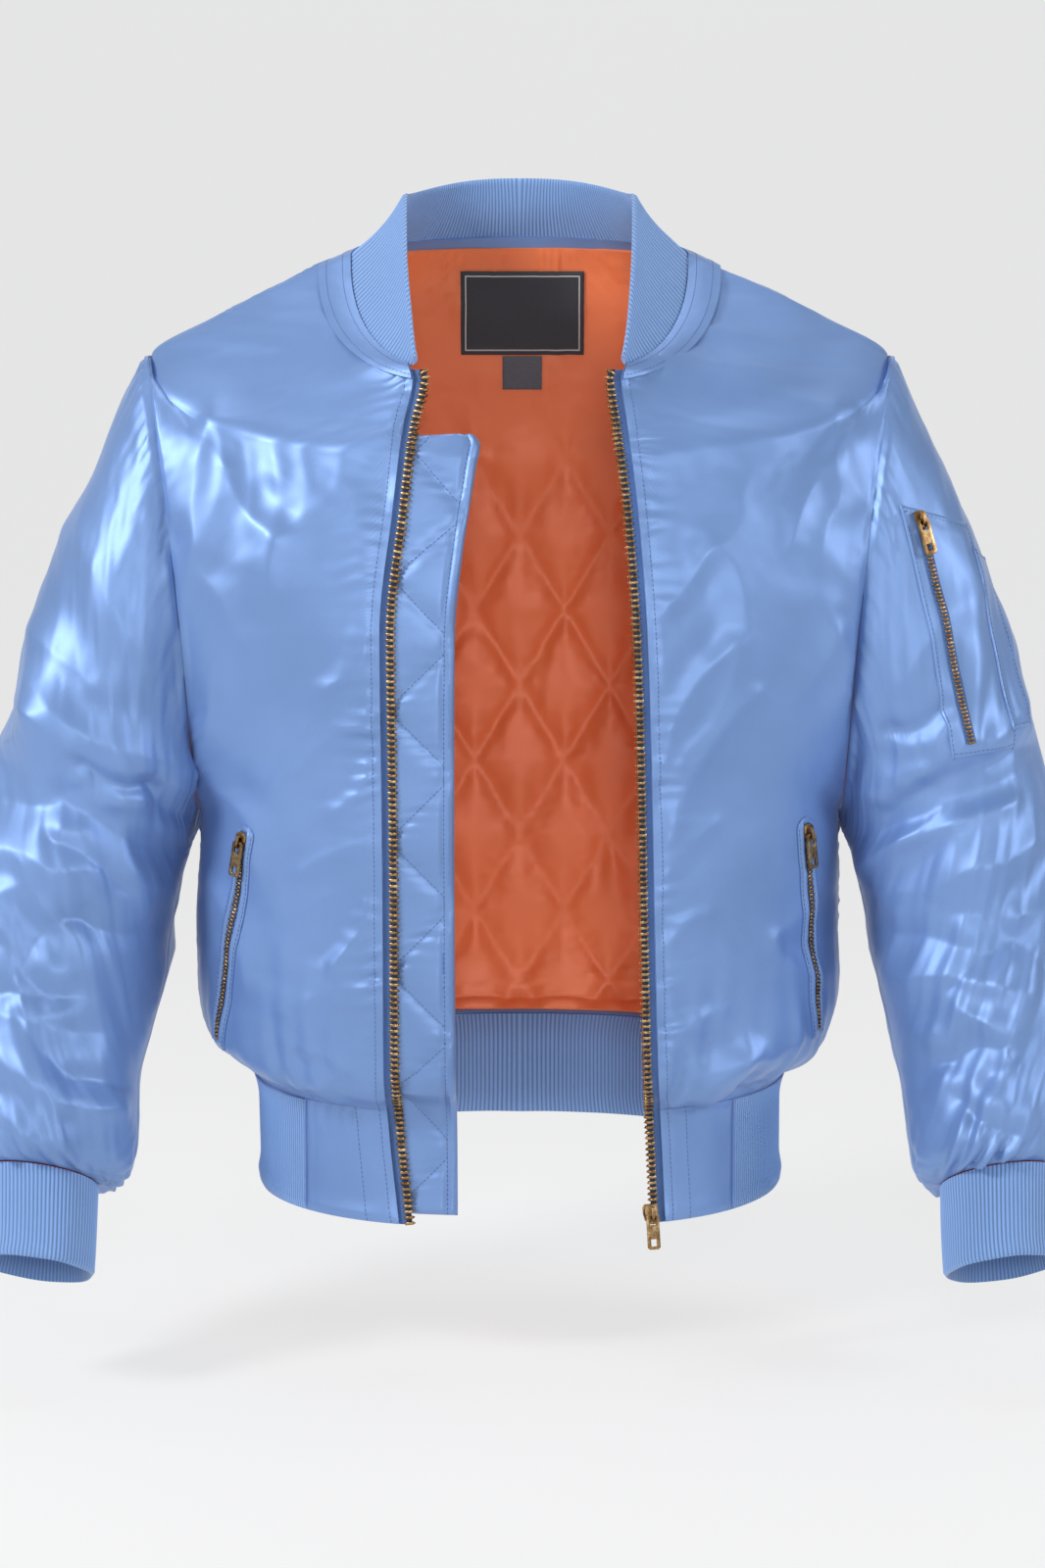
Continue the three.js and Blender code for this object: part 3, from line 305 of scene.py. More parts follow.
LEFT_CREASES = {
    "x1": [184, 158, 148, 218, 97, 103, 99, 101, 99, 206, 150, 188, 210, 112, 205, 128, 180],
    "z1": [-545, -552, -270, -115, -342, -396, -422, -470, -240, -440, -165, -300, -250, -540, -150, -200,
           -480],
    "x2": [158, 132, 108, 210, 140, 160, 133, 128, 122, 180, 130, 212, 224, 138, 185, 150, 205],
    "z2": [-552, -580, -350, -200, -269, -303, -390, -452, -208, -470, -205, -265, -300, -520, -196, -246,
           -505],
    "bend": [4, -4, 6, 3, 6, 8, 3, 3, -3, 5, 5, -5, 4, 4, -4, 5, -4],
    "width": [13, 11, 13, 12, 7, 9, 6, 6, 6, 9, 12, 9, 10, 7, 9, 10, 8],
    "rise": [4.5, 4.5, 3, 3, 2.3, 2.6, 1.8, 1.5, 1.4, 1.8, 1.8, 1.8, 2, 1.8, 1.7, 1.5, 1.7],
    "lean": [1, -1, 0, 1, 1, 1, -1, 1, -1, 1, -1, 1, -1, 1, 1, -1, 1],
}


def follow(table, key, column, at):
    """A smooth curve through one column of a table, which never swings past its rows."""
    x = np.array(table[key], float)
    y = np.array(table[column], float)
    rate = np.diff(y) / np.diff(x)
    alike = rate[:-1] * rate[1:] > 0
    inner = np.where(alike, 2 * rate[:-1] * rate[1:] / np.where(alike, rate[:-1] + rate[1:], 1), 0)
    slope = np.concatenate([rate[:1], inner, rate[-1:]])
    i = np.clip(np.searchsorted(x, at) - 1, 0, len(x) - 2)
    gap = x[i + 1] - x[i]
    s = np.clip((at - x[i]) / gap, 0, 1)
    rising = (2 * s**3 - 3 * s**2 + 1) * y[i] + (s**3 - 2 * s**2 + s) * gap * slope[i]
    return rising + (3 * s**2 - 2 * s**3) * y[i + 1] + (s**3 - s**2) * gap * slope[i + 1]


def mix(a, b, share):
    return a + (b - a) * share


def smooth(x, low, high):
    s = np.clip((x - low) / (high - low), 0, 1)
    return s * s * (3 - 2 * s)


def unit(vectors):
    return vectors / np.maximum(np.linalg.norm(vectors, axis=-1, keepdims=True), 1e-9)


def side_end(v):
    """Where a body row ends at the side: on the side seam, the armhole or the shoulder seam."""
    around = np.pi * np.clip((v - ARMPIT) / (TIP - ARMPIT), 0, 1)
    climb = (1 - np.cos(around)) / 2
    at_arm = (v > ARMPIT) & (v < TIP)
    x = np.where(at_arm, mix(ARM["low_x"], ARM["top_x"], climb) - ARM["bow"] * np.sin(around) ** 2,
                 follow(BODY, "v", "half", v))
    y = np.where(at_arm, ARM["depth"] * np.sin(around), 0)
    z = np.where(at_arm, mix(ARM["low_z"], ARM["top_z"], climb), follow(BODY, "v", "z_side", v))
    return x, y, z


def section(v, behind):
    end = side_end(v)
    square = follow(BODY, "v", "square", v)
    depth = follow(BODY, "v", "back" if behind else "front", v)
    half = end[0] / (1 - (end[1] / depth) ** square) ** (1 / square)
    return end, square, depth, half


def angle_at(v, x, behind=False):
    _, square, _, half = section(v, behind)
    return np.arcsin(np.minimum(1, np.abs(x) / half) ** (square / 2))


def last_angle(v, behind):
    end, square, _, half = section(v, behind)
    return np.arcsin(np.minimum(1, end[0] / half) ** (square / 2))


def torso(v, angle, behind):
    """The body's outer face. The angle is 0 mid-front or mid-back and grows to the wearer's left."""
    end, square, depth, half = section(v, behind)
    swing = np.minimum(np.abs(angle), np.pi / 2)
    x = np.sign(angle) * half * np.sin(swing) ** (2 / square)
    y = depth * np.maximum(0, np.cos(swing)) ** (2 / square) + SEAM / 2
    first = 0 if behind else angle_at(v, TEETH["left"][-1])
    share = np.clip((swing - first) / (last_angle(v, behind) - first), 0, 1)
    high = follow(BODY, "v", "z_back" if behind else "z_front", v)
    z = mix(high, end[2], share**2 if behind else share**FRONT_RISE)
    middle = follow(BODY, "v", "middle_y", v)
    return np.stack(np.broadcast_arrays(x, middle + (y if behind else -y), z), -1)


def teeth_at(side, v):
    return follow(TEETH, "z", "left" if side > 0 else "right", follow(BODY, "v", "z_front", v))


def normals(points, guide, around=False):
    across = np.roll(points, -1, 1) - np.roll(points, 1, 1) if around else np.gradient(points, axis=1)
    out = unit(np.cross(across, np.gradient(points, axis=0)))
    return out * np.sign(np.sum(out * (points - guide), -1).mean())


def spans(points, around=False):
    """How far each point of a grid is across and along the cloth from its middle column and first row."""
    closed = np.concatenate([points, points[:, :1]], 1) if around else points
    across = np.cumsum(np.linalg.norm(np.diff(closed, axis=1, prepend=closed[:, :1]), axis=-1), 1)
    along = np.cumsum(np.linalg.norm(np.diff(closed, axis=0, prepend=closed[:1]), axis=-1), 0)
    middle = closed.shape[1] // 2
    return across - across[:, middle : middle + 1], along


def noise(x, y, seed):
    """Smooth noise from -1 to 1, with about one swell for each unit."""
    lattice = np.random.default_rng(seed).uniform(-1, 1, (61, 61))
    x, y = np.broadcast_arrays(x, y)
    i, j = np.floor(x).astype(int), np.floor(y).astype(int)
    s, t = x - i, y - j
    s, t = s * s * (3 - 2 * s), t * t * (3 - 2 * t)
    low = mix(lattice[i % 61, j % 61], lattice[(i + 1) % 61, j % 61], s)
    high = mix(lattice[i % 61, (j + 1) % 61], lattice[(i + 1) % 61, (j + 1) % 61], s)
    return mix(low, high, t)


def creases(table, x, z):
    """Height of the listed creases: each a soft ridge or trough that bends, wavers and fades at its
    ends, with a shallower one on the side it leans to."""
    total = np.zeros(np.broadcast(x, z).shape)
    for number, (x1, z1, x2, z2, bend, width, rise, lean) in enumerate(zip(*table.values())):
        long = math.hypot(x2 - x1, z2 - z1)
        dx, dz = (x2 - x1) / long, (z2 - z1) / long
        along = ((x - x1) * dx + (z - z1) * dz) / long
        near = np.clip(along, 0, 1)
        waver = bend * 4 * near * (1 - near) + 0.35 * width * noise(along * long / 26, number, 5)
        off = (z - z1) * dx - (x - x1) * dz - waver
        beyond = (along - near) * long
        wide = width * (1 + 0.25 * noise(along * 3, number + 0.5, 6))
        fade = np.exp(-((beyond / (1.3 * width)) ** 2))
        fade = fade * (0.75 + 0.25 * noise(along * long / 40, number + 0.2, 7))
        fold = np.exp(-(np.abs(off / wide) ** 1.4))
        fold = fold - 0.5 * abs(lean) * np.exp(-((off / wide - 1.9 * lean) ** 2) / 1.6)
        total += FOLD_RISE * rise * fade * fold
    return total


def ripples(across, along, seed, size=1):
    """Small uneven swells of thin padded satin, longer across than along."""
    bent = across + 9 * noise(across / 70, along / 55, seed)
    broad = noise(bent / 62, along / 44, seed + 1)
    small = noise(bent / 27 + along / 60, along / 17, seed + 2)
    fine = noise(bent / 12, along / 9 + across / 40, seed + 3)
    return size * (2.0 * broad + 0.8 * small * (0.6 + 0.4 * broad) + 0.2 * fine)


def crumple(across, along, seed, wide, high, rise):
    """Crisp folds that branch and run into each other, with calm places between."""
    bent = along + 0.4 * high * noise(across / (1.3 * wide), along / (1.6 * high), seed)
    skewed = across + 0.4 * wide * noise(across / (1.9 * wide), along / high, seed + 1)
    crest = noise(skewed / wide, bent / high, seed + 2)
    second = noise(skewed / (0.45 * wide), bent / (0.5 * high), seed + 3)
    calm = 0.55 + 0.45 * noise(across / (2.2 * wide), along / (2.2 * high), seed + 4)
    return rise * calm * (1 - 2.2 * np.sqrt(crest**2 + 0.006) + 0.4 * (1 - 2.2 * np.sqrt(second**2 + 0.01)))


def pulls(distance, along, pitch, rise, reach, seed):
    """Puckers or gathers that start at a seam and fade away from it."""
    wander = along + 0.35 * pitch * noise(along / (2.3 * pitch), distance / reach, seed)
    comb = noise(wander / pitch * 2, distance / (2.2 * reach), seed + 1)
    comb = comb + 0.6 * np.cos(2 * np.pi * wander / pitch)
    uneven = 0.55 + 0.45 * noise(along / (3.1 * pitch), 3, seed + 2)
    return rise * comb * uneven * np.exp(-((distance / reach) ** 1.4))


def groove(distance, deep=0.9, wide=2.2):
    return -deep * np.exp(-((distance / wide) ** 2))


def shallow(rise, least=UNDER):
    """Keeps the troughs of a relief above a depth."""
    return np.where(rise < 0, -least * np.tanh(-rise / least), rise)


def lowest(rise, reach):
    """The lowest rise within a few rows and columns of each point, which a wall's inner face keeps under."""
    for axis in (0, 1):
        for _ in range(reach):
            rise = np.minimum(rise, np.minimum(np.roll(rise, 1, axis), np.roll(rise, -1, axis)))
    return np.minimum(rise, 0)


def wall(name, outer, inner, finish, inside=None, around=False, facing=None, uv=None, coarse=1):
    """A closed wall between two grids of points, with a coarser inner face. Facing tells which inner faces
    keep the outer finish."""
    rows, columns = outer.shape[:2]
    across, along = spans(outer, around) if uv is None else uv
    spot = np.arange(across.size).reshape(across.shape)
    ids = np.arange(rows * columns).reshape(rows, columns)
    away = (outer - inner)[:-1, :-1]
    inner = inner[::coarse, ::coarse]
    hidden = np.arange(inner.shape[0] * inner.shape[1]).reshape(inner.shape[:2]) + ids.size
    if around:
        ids = np.concatenate([ids, ids[:, :1]], 1)
        hidden = np.concatenate([hidden, hidden[:, :1]], 1)
    hidden_spot = spot[::coarse, ::coarse]

    def quads(grid):
        corners = [grid[:-1, :-1], grid[:-1, 1:], grid[1:, 1:], grid[1:, :-1]]
        return np.stack(corners, -1).reshape(-1, 4)

    def rim(line, other, reverse):
        faces = []
        for i in range(len(other) - 1):
            face = [*line[i * coarse : (i + 1) * coarse + 1], other[i + 1], other[i]]
            faces.append(face[::-1] if reverse else face)
        return faces

    faces = quads(ids).tolist() + quads(hidden)[:, ::-1].tolist()
    spots = quads(spot).tolist() + quads(hidden_spot)[:, ::-1].tolist()
    edges = [(0, True), (-1, False)]
    for end, reverse in edges:
        faces += rim(ids[end].tolist(), hidden[end].tolist(), reverse)
        spots += rim(spot[end].tolist(), hidden_spot[end].tolist(), reverse)
    if not around:
        for end, reverse in edges:
            faces += rim(ids[:, end].tolist(), hidden[:, end].tolist(), not reverse)
            spots += rim(spot[:, end].tolist(), hidden_spot[:, end].tolist(), not reverse)
    which = np.zeros(len(faces), int)
    if inside:
        first = ids[:-1, :-1].size
        part = np.ones(hidden[:-1, :-1].shape, int)
        if facing is not None:
            part = 1 - facing[::coarse, ::coarse][:-1, :-1].astype(int)
        which[first : first + part.size] = part.ravel()
    points = np.concatenate([outer.reshape(-1, 3), inner.reshape(-1, 3)])
    a, b, c = (outer[:-1, :-1], outer[:-1, 1:], outer[1:, 1:])
    if np.sum(np.cross(b - a, c - a) * away) < 0:
        faces = [face[::-1] for face in faces]
        spots = [face[::-1] for face in spots]
    flat = np.stack([across.ravel(), along.ravel()], -1)[[corner for face in spots for corner in face]]
    finishes = [finish, inside] if inside else [finish]
    return mesh_piece(name, points, faces, finishes, which, flat)


def join_body(piece, nodes, body=ROOT):
    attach(piece, body)
    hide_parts(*nodes)
    return piece


def sewn(points, around=False):
    """Takes the two diagonals of each cell of a grid of points and returns nothing."""
    closed = np.concatenate([points, points[:, :1]], 1) if around else points
    one = closed[1:, 1:] - closed[:-1, :-1]
    two = closed[1:, :-1] - closed[:-1, 1:]


def satin_finish(name, base, tint):
    """Satin weave: a fine diagonal twill, uneven in colour and gloss. The tint colours its highlights."""
    finish = Finish(name, Metallic=tint, Specular_IOR_Level=0.55, Sheen_Weight=0.12, Sheen_Roughness=0.4)
    across, along = finish.cloth()
    twill = ((across + along * 0.8) * (2 * math.pi / 1.25)).wave()
    slub = finish.noise(900, 2)
    patchy = finish.noise(9, 4)
    pale = tuple(min(1, 1.16 * part + 0.012) for part in base)
    deep = tuple(0.86 * part for part in base)
    finish.colours(patchy * 0.7 + twill * 0.16 + slub * 0.14, [(0.25, deep), (0.5, base), (0.78, pale)])
    finish.varies("Roughness", patchy * 0.1 + slub * 0.08 + 0.36)
    finish.bump(twill * 0.6 + slub * 0.4, 0.05, 0.55)
    return finish


def quilt_height(across, level):
    """0 on the quilting lines of a diamond grid and 1 in the middle of a diamond."""
    up = (level - DIAMOND["level"]) / DIAMOND["height"]
    a = (across / DIAMOND["width"] + up) % 1
    b = (across / DIAMOND["width"] - up) % 1
    to_line = np.minimum(np.minimum(a, 1 - a), np.minimum(b, 1 - b)) * 2
    return 1 - (1 - to_line) ** 2.6


LINING_ORANGE = (0.96, 0.225, 0.075)
DIAMOND = {"width": 68, "height": 112, "level": -312}


def from_edges(across, along):
    """How far each point of a grid is from its nearest edge."""
    sides = np.minimum(across - across[:, :1], across[:, -1:] - across)
    return np.minimum(sides, np.minimum(along, along[-1:] - along))


def line_at(points, field, value):
    """The line across a grid's rows where a field that grows along each row has a value."""
    values = np.broadcast_to(value, len(points))
    return np.array([[np.interp(level, reach, row[:, axis]) for axis in range(3)]
                     for level, reach, row in zip(values, field, points)])


satin = satin_finish("satin_blue", SATIN_BLUE, 0.42)
lining_satin = satin_finish("lining_satin", LINING_ORANGE, 0.1)

MIDDLE = np.array([0, 0, -330])
STITCH_IN = 5.5
thread_lines = []
front_trees = {}


def tree_of(points, around=False):
    rows, columns = points.shape[:2]
    ids = np.arange(rows * columns).reshape(rows, columns)
    if around:
        ids = np.concatenate([ids, ids[:, :1]], 1)
    corners = [ids[:-1, :-1], ids[:-1, 1:], ids[1:, 1:], ids[1:, :-1]]
    return BVHTree.FromPolygons(points.reshape(-1, 3).tolist(), np.stack(corners, -1).reshape(-1, 4).tolist())


for side, name, table, seed in ((-1, "right", RIGHT_CREASES, 11), (1, "left", LEFT_CREASES, 31)):
    v = np.linspace(0, 1, 231)[:, None]
    u = np.linspace(0, 1, 93)[None, :]
    first = angle_at(v, teeth_at(side, v) + TAPE_REACH)
    base = torso(v, side * mix(first, last_angle(v, False), u), False)
    out = normals(base, MIDDLE)
    on_seam = (v[:, 0] <= ARMPIT) | (v[:, 0] >= TIP)
    out[on_seam, -1, 1] = 0
    out = unit(out)
    across, along = spans(base)
    from_zip = across - across[:, :1]
    from_side = across[:, -1:] - across
    edge = from_edges(across, along)
    rise = creases(table, side * base[..., 0], base[..., 2]) + ripples(across, along, seed)
    rise += crumple(across + 0.5 * along, along, seed + 8, **CRUMPLE)
    rise += pulls(along, across, seed=seed + 5, **GATHER)
    rise += pulls(from_zip, along, seed=seed + 6, **PUCKER)
    rise += pulls(from_side, along, seed=seed + 7, **{**PUCKER, "rise": 0.8, "reach": 18})
    rise = shallow(rise * smooth(edge, -1, 7), FRONT_UNDER)
    rise += groove(from_zip - STITCH_IN, 0.5, 1.5) + groove(edge, 0.7, 3)
    outer = base + out * rise[..., None]
    lined = smooth(from_zip, FACING, FACING + 8) * smooth(edge, 2, 12)
    puff = FRONT_PUFF * lined * quilt_height(across, base[..., 2])
    inner = base - out * (SHELL + puff - lowest(rise, 2))[..., None]
    facing = (from_zip < FACING) | (edge < 14)
    panel = wall(f"front_{name}_satin", outer, inner, satin, lining_satin, facing=facing, coarse=2)
    join_body(panel, [f"front_{name}"])
    sewn(base)
    front_trees[name] = tree_of(outer)
    thread_lines.append((line_at(outer, from_zip, STITCH_IN), line_at(out, from_zip, STITCH_IN)))

# Back panel
# One piece of the same satin from side seam to side seam, smooth over the shoulder blades and blousing in
# broad slanting folds above the hem.
BACK_CREASES = {
    "x1": [-190, 195, -60, -175, 170, -150, 140, -200, 205, -90, 60, -40, 20, -205, 210, 110, -120],
    "z1": [-380, -360, -470, -530, -525, -120, -115, -470, -455, -260, -250, -400, -330, -250, -240, -490,
           -540],
    "x2": [-90, 95, 70, -60, 70, -85, 90, -110, 120, -30, 110, 60, -60, -160, 165, 20, -20],
    "z2": [-455, -430, -505, -525, -535, -205, -190, -500, -490, -300, -285, -440, -350, -310, -300, -515,
           -548],
    "bend": [8, -8, 6, 4, -4, 6, -6, 5, -5, 6, -5, 7, -6, 5, -5, 6, 4],
    "width": [18, 18, 16, 14, 14, 15, 15, 11, 11, 14, 14, 12, 13, 12, 12, 11, 10],
    "rise": [4, 4, 3.5, 4, 4, 2.2, 2, 2.4, 2.4, 1.6, 1.5, 1.8, 1.4, 2, 2, 2, 2],
    "lean": [1, -1, 1, -1, 1, 1, -1, 1, 1, -1, 1, 1, -1, 1, -1, 1, -1],
}
BACK_FOLDS = 1.5
LINING_CLEAR = 4.7
v = np.linspace(0, 1, 209)[:, None]
u = np.linspace(0, 1, 189)[None, :]
last = last_angle(v, True)
back_base = torso(v, mix(-last, last, u), True)
back_out = normals(back_base, MIDDLE)
on_seam = (v[:, 0] <= ARMPIT) | (v[:, 0] >= TIP)
back_out[np.ix_(on_seam, [0, -1], [1])] = 0
back_out = unit(back_out)
across, along = spans(back_base)
from_side = np.minimum(across - across[:, :1], across[:, -1:] - across)
edge = np.minimum(from_side, np.minimum(along, along[-1:] - along))
rise = BACK_FOLDS * creases(BACK_CREASES, back_base[..., 0], back_base[..., 2])
rise = rise + ripples(across, along, 51, 1.2)
rise += crumple(across + 0.4 * along, along, 59, **{**CRUMPLE, "rise": 2.4})
rise += pulls(along, across, seed=55, **GATHER)
rise += pulls(from_side, along, seed=57, **PUCKER)
rise = shallow(rise * smooth(edge, -1, 9) + groove(edge, 0.7, 3))
inside = np.minimum(SHELL - lowest(rise, 4), LINING_CLEAR)
outer = back_base + back_out * rise[..., None]
back = wall("back_satin", outer, back_base - back_out * inside[..., None], satin, coarse=4)
join_body(back, ["back"])
sewn(back_base)

# Lining
# Orange satin quilted to thin wadding in tall diamonds, seen through the neck and the open front. It lies
# inside the back panel and comes up to it at the hem and the neck.
LINING = {"sink": 6.1, "wall": 2.4, "puff": 5, "low": 0.005, "high": 0.99, "side": 0.965, "taper": 0.06}
QUILT = {"from": -105, "full": -165}
LINING_CRUMPLE = {"wide": 46, "high": 60, "rise": 1.5}
LINING_GATHER = {"pitch": 7, "rise": 1.6, "reach": 34}
v = np.linspace(LINING["low"], LINING["high"], 261)[:, None]
u = np.linspace(-1, 1, 221)[None, :]
last = last_angle(v, True)
behind = torso(v, last * u * LINING["side"], True)
out = normals(behind, MIDDLE)
across, along = spans(behind)
end = np.minimum(v - LINING["low"], LINING["high"] - v)
sink = mix(SHELL + 2 * SEAM, LINING["sink"], smooth(end, 0, LINING["taper"]))
full = smooth(-behind[..., 2], -QUILT["from"], -QUILT["full"])
level = follow(BODY, "v", "z_back", v) + 0 * u
height = quilt_height(across, level)
edge = from_edges(across, along)
wrinkle = 1.1 * noise(across / 9, along / 30, 71) + 0.6 * noise(across / 5, along / 5, 72)
puff = LINING["puff"] * height * full * (0.86 + 0.14 * noise(across / 34, along / 56, 73))
puff += wrinkle * (1 - np.abs(2 * height - 1)) * full + wrinkle * 0.8 * (1 - full)
puff += crumple(across, along, 75, **LINING_CRUMPLE) * smooth(height, 0, 0.7)
puff += pulls(along[-1:] - along, across, seed=74, **LINING_GATHER) * (1 - full)
puff = np.maximum(puff, 0) * smooth(edge, -1, 5)
inner_sheet = behind - out * (sink + LINING["wall"] + puff)[..., None]
back_face = behind - out * np.broadcast_to(sink, puff.shape)[..., None]
lining = wall("lining_quilted", inner_sheet, back_face, lining_satin, uv=(across, level), coarse=4)
join_body(lining, ["lining_back"])
sewn(behind)

# Sleeves
# One satin tube each, set into the armhole and eased into the cuff. The stretched-forward arms give them long
# slanting folds inside the elbow, and gathers above the cuff. The seam runs under the arm.
SLEEVE = {
    "t": [0, 0.04, 0.1, 0.2, 0.3, 0.4, 0.5, 0.6, 0.7, 0.8, 0.88, 0.94, 0.97, 1],
    "out_x": [260, 273, 291, 319, 342, 358, 372, 382, 386, 386, 384, 381, 376, 369],
    "out_z": [-71, -93, -130, -194, -252, -310, -368, -426, -484, -540, -584, -612, -623, -629],
    "in_x": [228, 230.5, 232, 236, 241, 246, 250, 255, 262, 267, 268, 271, 278, 290],
    "in_z": [-392, -401, -409, -422, -440, -462, -488, -516, -546, -578, -606, -626, -636, -639],
    "mid_y": [0, -1, -3, -7, -11, -16, -24, -38, -56, -78, -98, -111, -116, -119],
    "depth": [84, 88, 91, 91, 89, 86, 83, 79, 74, 68, 62, 57, 51, 41],
    "tip": [0, 0, 1, 3, 6, 9, 12, 16, 20, 23, 25, 26, 27, 27],
    "bow": [8, 6, 3, 0, 0, 0, 0, 0, 0, 0, 0, 0, 0, 0],
}
RIGHT_SLEEVE_CREASES = {
    "x1": [380, 312, 331, 370, 303, 385, 350, 298, 257, 318, 338, 352, 359, 337, 301, 326, 372, 340, 300,
           384, 262, 352],
    "z1": [-376, -372, -318, -412, -450, -516, -548, -352, -367, -400, -420, -475, -504, -517, -559, -296,
           -340, -262, -200, -450, -470, -580],
    "x2": [312, 235, 240, 262, 349, 300, 280, 257, 225, 278, 311, 325, 310, 301, 274, 237, 330, 296, 262,
           352, 300, 316],
    "z2": [-372, -418, -364, -442, -497, -528, -584, -367, -400, -437, -461, -502, -509, -559, -570, -356,
           -322, -296, -262, -436, -458, -600],
    "bend": [3, 6, 8, -6, 5, -4, 5, 3, 5, -4, 4, 3, -3, 5, -3, 8, 4, -5, 6, 3, -4, 4],
    "width": [15, 15, 18, 18, 14, 14, 13, 7, 7, 8, 8, 8, 8, 8, 7, 15, 11, 12, 14, 10, 9, 9],
    "rise": [-6, -6, 6, 6, -4.5, -4.5, 5, -4, -4.5, -3, 3, -3, -3.2, -3.4, -3, 3, 2.6, 2, 1.8, 2.8, -2.4,
             2.6],
    "lean": [0, 0, 0, 0, 0, 0, 0, 1, 1, -1, 1, -1, 1, 1, 1, -1, 1, -1, 1, -1, 1, -1],
}
LEFT_SLEEVE_CREASES = {
    "x1": [257, 312, 250, 258, 292, 268, 278, 291, 254, 281, 328, 240, 240, 332, 303, 297, 271, 291, 362,
           300, 376, 262],
    "z1": [-400, -372, -345, -440, -446, -500, -588, -314, -386, -369, -349, -434, -427, -468, -520, -577,
           -577, -550, -300, -250, -430, -470],
    "x2": [312, 380, 268, 345, 366, 335, 335, 254, 281, 328, 363, 288, 335, 300, 330, 330, 291, 328, 330,
           264, 340, 300],
    "z2": [-372, -346, -338, -402, -490, -505, -552, -329, -369, -349, -342, -385, -376, -500, -548, -596,
           -550, -540, -330, -290, -452, -476],
    "bend": [3, 4, 3, -7, 5, 5, 5, 3, 3, 3, 3, 5, 8, -4, 4, -4, 4, 5, 4, -6, 5, 4],
    "width": [15, 15, 14, 18, 15, 16, 14, 6, 7, 7, 6, 8, 9, 8, 8, 8, 8, 8, 11, 12, 10, 9],
    "rise": [-6, -6, -4, 6, -5, 5, -5, -4, -3.6, -3.8, -3.4, 3.4, 3.6, -3.2, 3, -3, -4, -4, 2.6, 2, 2.8,
             -2.4],
    "lean": [0, 0, 0, 0, 0, 0, 0, 1, 1, 1, 1, -1, 1, 1, -1, 1, 1, 1, -1, 1, -1, 1],
}
BACK_SLEEVE_CREASES = {
    "x1": [245, 250, 262, 275, 372, 300, 290, 262, 380, 300],
    "z1": [-405, -440, -490, -560, -420, -250, -330, -520, -500, -590],
    "x2": [350, 370, 380, 375, 320, 262, 352, 330, 330, 350],
    "z2": [-345, -400, -455, -530, -440, -300, -300, -505, -520, -575],
    "bend": [6, -6, 6, 5, 4, -5, 5, 4, -4, 4],
    "width": [20, 18, 20, 18, 10, 12, 11, 9, 9, 8],
    "rise": [6, -5, 6, 5, 2.8, 2.2, 2.4, -2.6, 2.6, 2.4],
    "lean": [0, 0, 0, 0, 1, 1, -1, 1, -1, 1],
}
SLEEVE_FACING = 34
SLEEVE_UNDER = 12
CUFF_GATHER = {"pitch": 15, "rise": 3.4, "reach": 36}
ARM_CRUMPLE = {"wide": 150, "high": 74, "rise": 4.2}


def tube(table, side, u, t):
    """A ring for each t, turned from the underarm through the front to the outer side and round the back."""
    turn = 2 * np.pi * (0.5 - u)
    ring = {column: follow(table, "t", column, t) for column in table if column != "t"}
    outward = (1 + np.cos(turn)) / 2
    forward = ring["depth"] * np.sin(turn)
    tip = np.radians(ring["tip"])
    x = mix(ring["in_x"], ring["out_x"], outward) - ring["bow"] * np.sin(turn) ** 2
    y = ring["mid_y"] - forward * np.cos(tip)
    z = mix(ring["in_z"], ring["out_z"], outward) + forward * np.sin(tip)
    return np.stack(np.broadcast_arrays(side * x, y, z), -1)


def closed_round(relief, across, girth):
    """Lets a relief meet itself at a tube's seam."""
    share = 0.5 * smooth(np.abs(across), girth / 2 - 45, girth / 2)
    return mix(relief(across), relief(across - np.sign(across) * girth), share)


sleeve_trees = {}
for side, name, table, seed in (
    (-1, "right", RIGHT_SLEEVE_CREASES, 81),
    (1, "left", LEFT_SLEEVE_CREASES, 91),
):
    t = np.linspace(0, 1, 241)[:, None]
    u = np.arange(200)[None, :] / 200
    base = tube(SLEEVE, side, u, t)
    out = normals(base, base.mean(1, keepdims=True), around=True)
    out[0, :, 0] = 0
    out = unit(out)
    across, along = (grid[:, :-1] for grid in spans(base, around=True))
    girth = spans(base, around=True)[0][:, -1:] - across[:, :1]
    from_cuff = along[-1:] - along
    x, z = side * base[..., 0], base[..., 2]
    seen = np.where(out[..., 1] < 0, creases(table, x, z), creases(BACK_SLEEVE_CREASES, x, z))
    rise = seen * smooth(np.abs(out[..., 1]), 0, 0.5)
    rise += closed_round(lambda a: ripples(a, along, seed, 1.5), across, girth)
    busy = mix(0.45, 1, smooth(along, 90, 230))
    rise += closed_round(lambda a: crumple(a, along + 0.3 * a, seed + 6, **ARM_CRUMPLE), across, girth) * busy
    rise += closed_round(lambda a: pulls(from_cuff, a, seed=seed + 4, **CUFF_GATHER), across, girth)
    rise += closed_round(lambda a: pulls(along, a, 13, 2.2, 22, seed + 5), across, girth)
    edge = np.minimum(along, from_cuff)
    rise = rise * smooth(edge, -1, 8) + groove(edge, 0.7, 3) + groove(girth / 2 - np.abs(across), 0.8, 2)
    rise = shallow(rise, SLEEVE_UNDER)
    base[0] += 0.7 * unit(base[0] - base[1])
    outer = base + out * rise[..., None]
    inner = base + out * (lowest(rise, 4) - SHELL)[..., None]
    sleeve = wall(f"sleeve_{name}_satin", outer, inner, satin, lining_satin, around=True,
                  facing=along < SLEEVE_FACING, coarse=4)
    join_body(sleeve, [f"sleeve_{name}"])
    sewn(base, around=True)
    sleeve_trees[name] = tree_of(outer, around=True)

